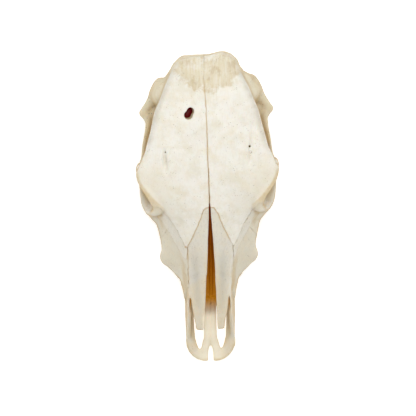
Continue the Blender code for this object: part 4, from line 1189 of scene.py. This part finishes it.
def finishedMaterial(name, group, values, bump, principled):
    # one material that takes colour, roughness and relief from a finish group
    material = bpy.data.materials.new(name)
    material.use_nodes = True
    nodes, links = material.node_tree.nodes, material.node_tree.links
    shader = nodes["Principled BSDF"]
    finish = nodes.new("ShaderNodeGroup")
    finish.node_tree = group
    for word, value in values.items():
        finish.inputs[word].default_value = withAlpha(value)
    relief = nodes.new("ShaderNodeBump")
    relief.inputs["Strength"].default_value = 1.0
    relief.inputs["Distance"].default_value = bump * mm
    links.new(finish.outputs["Height"], relief.inputs["Height"])
    links.new(relief.outputs["Normal"], shader.inputs["Normal"])
    links.new(finish.outputs["Colour"], shader.inputs["Base Color"])
    links.new(finish.outputs["Roughness"], shader.inputs["Roughness"])
    if "Glow" in finish.outputs:
        links.new(finish.outputs["Glow"], shader.inputs["Emission Color"])
    for word, value in principled.items():
        shader.inputs[word].default_value = value
    return material


def dress(piece, material):
    # gives a piece this one material
    piece.data.materials.clear()
    piece.data.materials.append(material)


boneGroup = boneFinish()
# Emission Strength sets how bright the painted glow of the bone is
bonePrincipled = {"Specular IOR Level": 0.25, "Subsurface Weight": 0.12, "Subsurface Radius": (3.0, 1.8, 0.9),
                  "Subsurface Scale": 1.0 * mm, "Emission Strength": 0.12}
boneLooks = {
    "forehead": ({"Pores": 0.45, "Grain": 0.35}, 0.9),
    "face": ({"White": (0.775, 0.735, 0.635), "Tan": (0.66, 0.58, 0.42), "Pores": 0.35, "Grain": 0.9}, 0.8),
    "cheek": ({"White": (0.73, 0.675, 0.54), "Tan": (0.63, 0.54, 0.37), "Pores": 0.5, "Grain": 0.6}, 0.6),
    "side": ({"BleachAndTopLight": 0.3, "Pores": 0.8, "Grain": 0.5}, 0.8),
}
boneMaterials = {kind: finishedMaterial("bone_" + kind, boneGroup, *look, bonePrincipled)
                 for kind, look in boneLooks.items()}
boneKinds = {"frontal": "forehead", "nasal": "face", "lacrimal": "face", "zygomatic": "cheek",
             "maxilla": "cheek", "incisive": "face", "temporal": "side", "occipital": "side",
             "sphenoid": "side"}
for name, piece in pieces.items():
    dress(piece, boneMaterials[boneKinds[name.split("_")[0]]])


toothColours = {"Enamel": (0.74, 0.68, 0.52), "Dentine": (0.42, 0.28, 0.13)}
tartarColour, streakColour, pitColour, laceColour = ((0.24, 0.15, 0.07), (0.50, 0.38, 0.20),
                                                     (0.03, 0.018, 0.01), (0.10, 0.03, 0.004))


def toothFinish():
    # enamel is pale and smooth, dentine tan, and the cups nearly black; the walls carry tartar
    group, inputs, outputs, where = newFinish("toothFinish", toothColours, glow=False)
    link, maths, times, mixed, ranged, noise, _, stretched = nodeTools(group)
    streaks = noise(stretched(where, (1.0, 1.0, 0.12)), 260, 4, 0.6)
    tartar = noise(where, 120, 4, 0.65)
    colour = mixed("enamel", inputs["Dentine"], inputs["Enamel"])
    colour = mixed(times(ranged(tartar, 0.42, 0.75), 0.5), colour, tartarColour)
    colour = mixed(ranged(streaks, 0.4, 0.8, 0.0, 0.3), colour, streakColour)
    colour = mixed("pit", colour, pitColour)
    link(colour, outputs["Colour"])
    link(ranged(tartar, 0.35, 0.7, 0.25, 0.6), outputs["Roughness"])
    link(maths("ADD", times(streaks, 0.7), times(tartar, 0.3)), outputs["Height"])
    return group


def scrollFinish():
    # papery bone of the inner nose: deep amber far inside, paler towards the nostrils, with a
    # lace of dark spots. The amber is painted light bounced in and through thin bone, darker far
    # inside as painted shade, and it glows as painted light
    group, inputs, outputs, where = newFinish("scrollFinish", {"LitPale": boneColours["amberPaleLit"],
                                                               "Deep": boneColours["amberDeepShade"]})
    link, maths, _, mixed, ranged, noise, cells, stretched = nodeTools(group)
    grain = noise(stretched(where, (1.0, 0.2, 1.0)), 260, 4, 0.6)
    lace = cells(where, 420)
    colour = mixed("deep", inputs["LitPale"], inputs["Deep"])
    colour = mixed(ranged(grain, 0.4, 0.75, 0.0, 0.35), colour, boneColours["amberStreak"])
    colour = mixed(ranged(lace, 0.15, 0.35, 0.5, 0.0), colour, laceColour)
    link(colour, outputs["Colour"])
    # painted glow: the scroll bones give out their own colour as light
    link(colour, outputs["Glow"])
    link(ranged(grain, 0.3, 0.7, 0.45, 0.65), outputs["Roughness"])
    link(maths("SUBTRACT", grain, ranged(lace, 0.1, 0.3, 0.6, 0.0)), outputs["Height"])
    return group


toothMaterial = finishedMaterial("tooth_enamel", toothFinish(), {}, 0.6, {"Specular IOR Level": 0.5})
# Emission Strength sets how bright the painted glow of the scroll bones is
scrollPrincipled = {"Specular IOR Level": 0.2, "Subsurface Weight": 0.3, "Subsurface Radius": (4.0, 2.0, 0.7),
                    "Subsurface Scale": 1.0 * mm, "Emission Strength": 0.12}
scrollMaterial = finishedMaterial("nose_scroll_bone", scrollFinish(), {}, 0.5, scrollPrincipled)
for piece in teeth:
    dress(piece, toothMaterial)
for piece in innerBones:
    dress(piece, scrollMaterial)
print("materials")

# Stage: the camera looks straight down, and soft light comes from above and all round.
cameraShape = {"height": 12.0, "lookAt": (-0.1, -2.27), "roll": -0.0186, "frameWidth": 629.8,
               "plane": 110, "sensor": 36}
cameraData = bpy.data.cameras.new("camera")
cameraData.sensor_width = cameraShape["sensor"]
viewDistance = cameraShape["height"] - cameraShape["plane"] * mm
cameraData.lens = cameraShape["sensor"] * viewDistance / (cameraShape["frameWidth"] * mm)
camera = placed("camera", cameraData)
camera.location = (cameraShape["lookAt"][0] * mm, cameraShape["lookAt"][1] * mm, cameraShape["height"])
camera.rotation_euler = (0, 0, cameraShape["roll"])
bpy.context.scene.camera = camera

lights = {  # place, size and power
    "overhead": ((0.05, 0.45, 2.2), 1.6, 27),
    "left": ((-1.8, 0.3, 1.3), 1.6, 3.4),
    "right": ((1.8, 0.2, 1.3), 1.6, 2.8),
}
for word, (place, size, power) in lights.items():
    lamp = bpy.data.lights.new(word, "AREA")
    lamp.shape = "DISK"
    lamp.size = size
    lamp.energy = power
    holder = placed(word, lamp)
    holder.location = place
    holder.rotation_euler = (-Vector(place)).to_track_quat("-Z", "Y").to_euler()

worldShape = {"colour": (1.0, 1.0, 1.0), "strength": 0.42}
world = bpy.data.worlds.new("studio")
world.use_nodes = True
background = world.node_tree.nodes["Background"]
background.inputs["Color"].default_value = withAlpha(worldShape["colour"])
background.inputs["Strength"].default_value = worldShape["strength"]
bpy.context.scene.world = world
bpy.context.scene.view_settings.view_transform = "Standard"

floorShape = {"reach": 30.0, "height": -0.0002}
floorLook = {"Base Color": (0.95, 0.95, 0.95, 1), "Roughness": 0.9, "Emission Color": (1, 1, 1, 1),
             "Emission Strength": 0.5}
floorMaterial = bpy.data.materials.new("pale_floor")
floorMaterial.use_nodes = True
for word, value in floorLook.items():
    floorMaterial.node_tree.nodes["Principled BSDF"].inputs[word].default_value = value
reach = floorShape["reach"]
floorMesh = bpy.data.meshes.new("floor")
floorMesh.from_pydata([(-reach, -reach, 0), (reach, -reach, 0), (reach, reach, 0), (-reach, reach, 0)], [],
                      [(0, 1, 2, 3)])
floor = placed("floor", floorMesh)
floor.location = (0, 0, floorShape["height"])
dress(floor, floorMaterial)
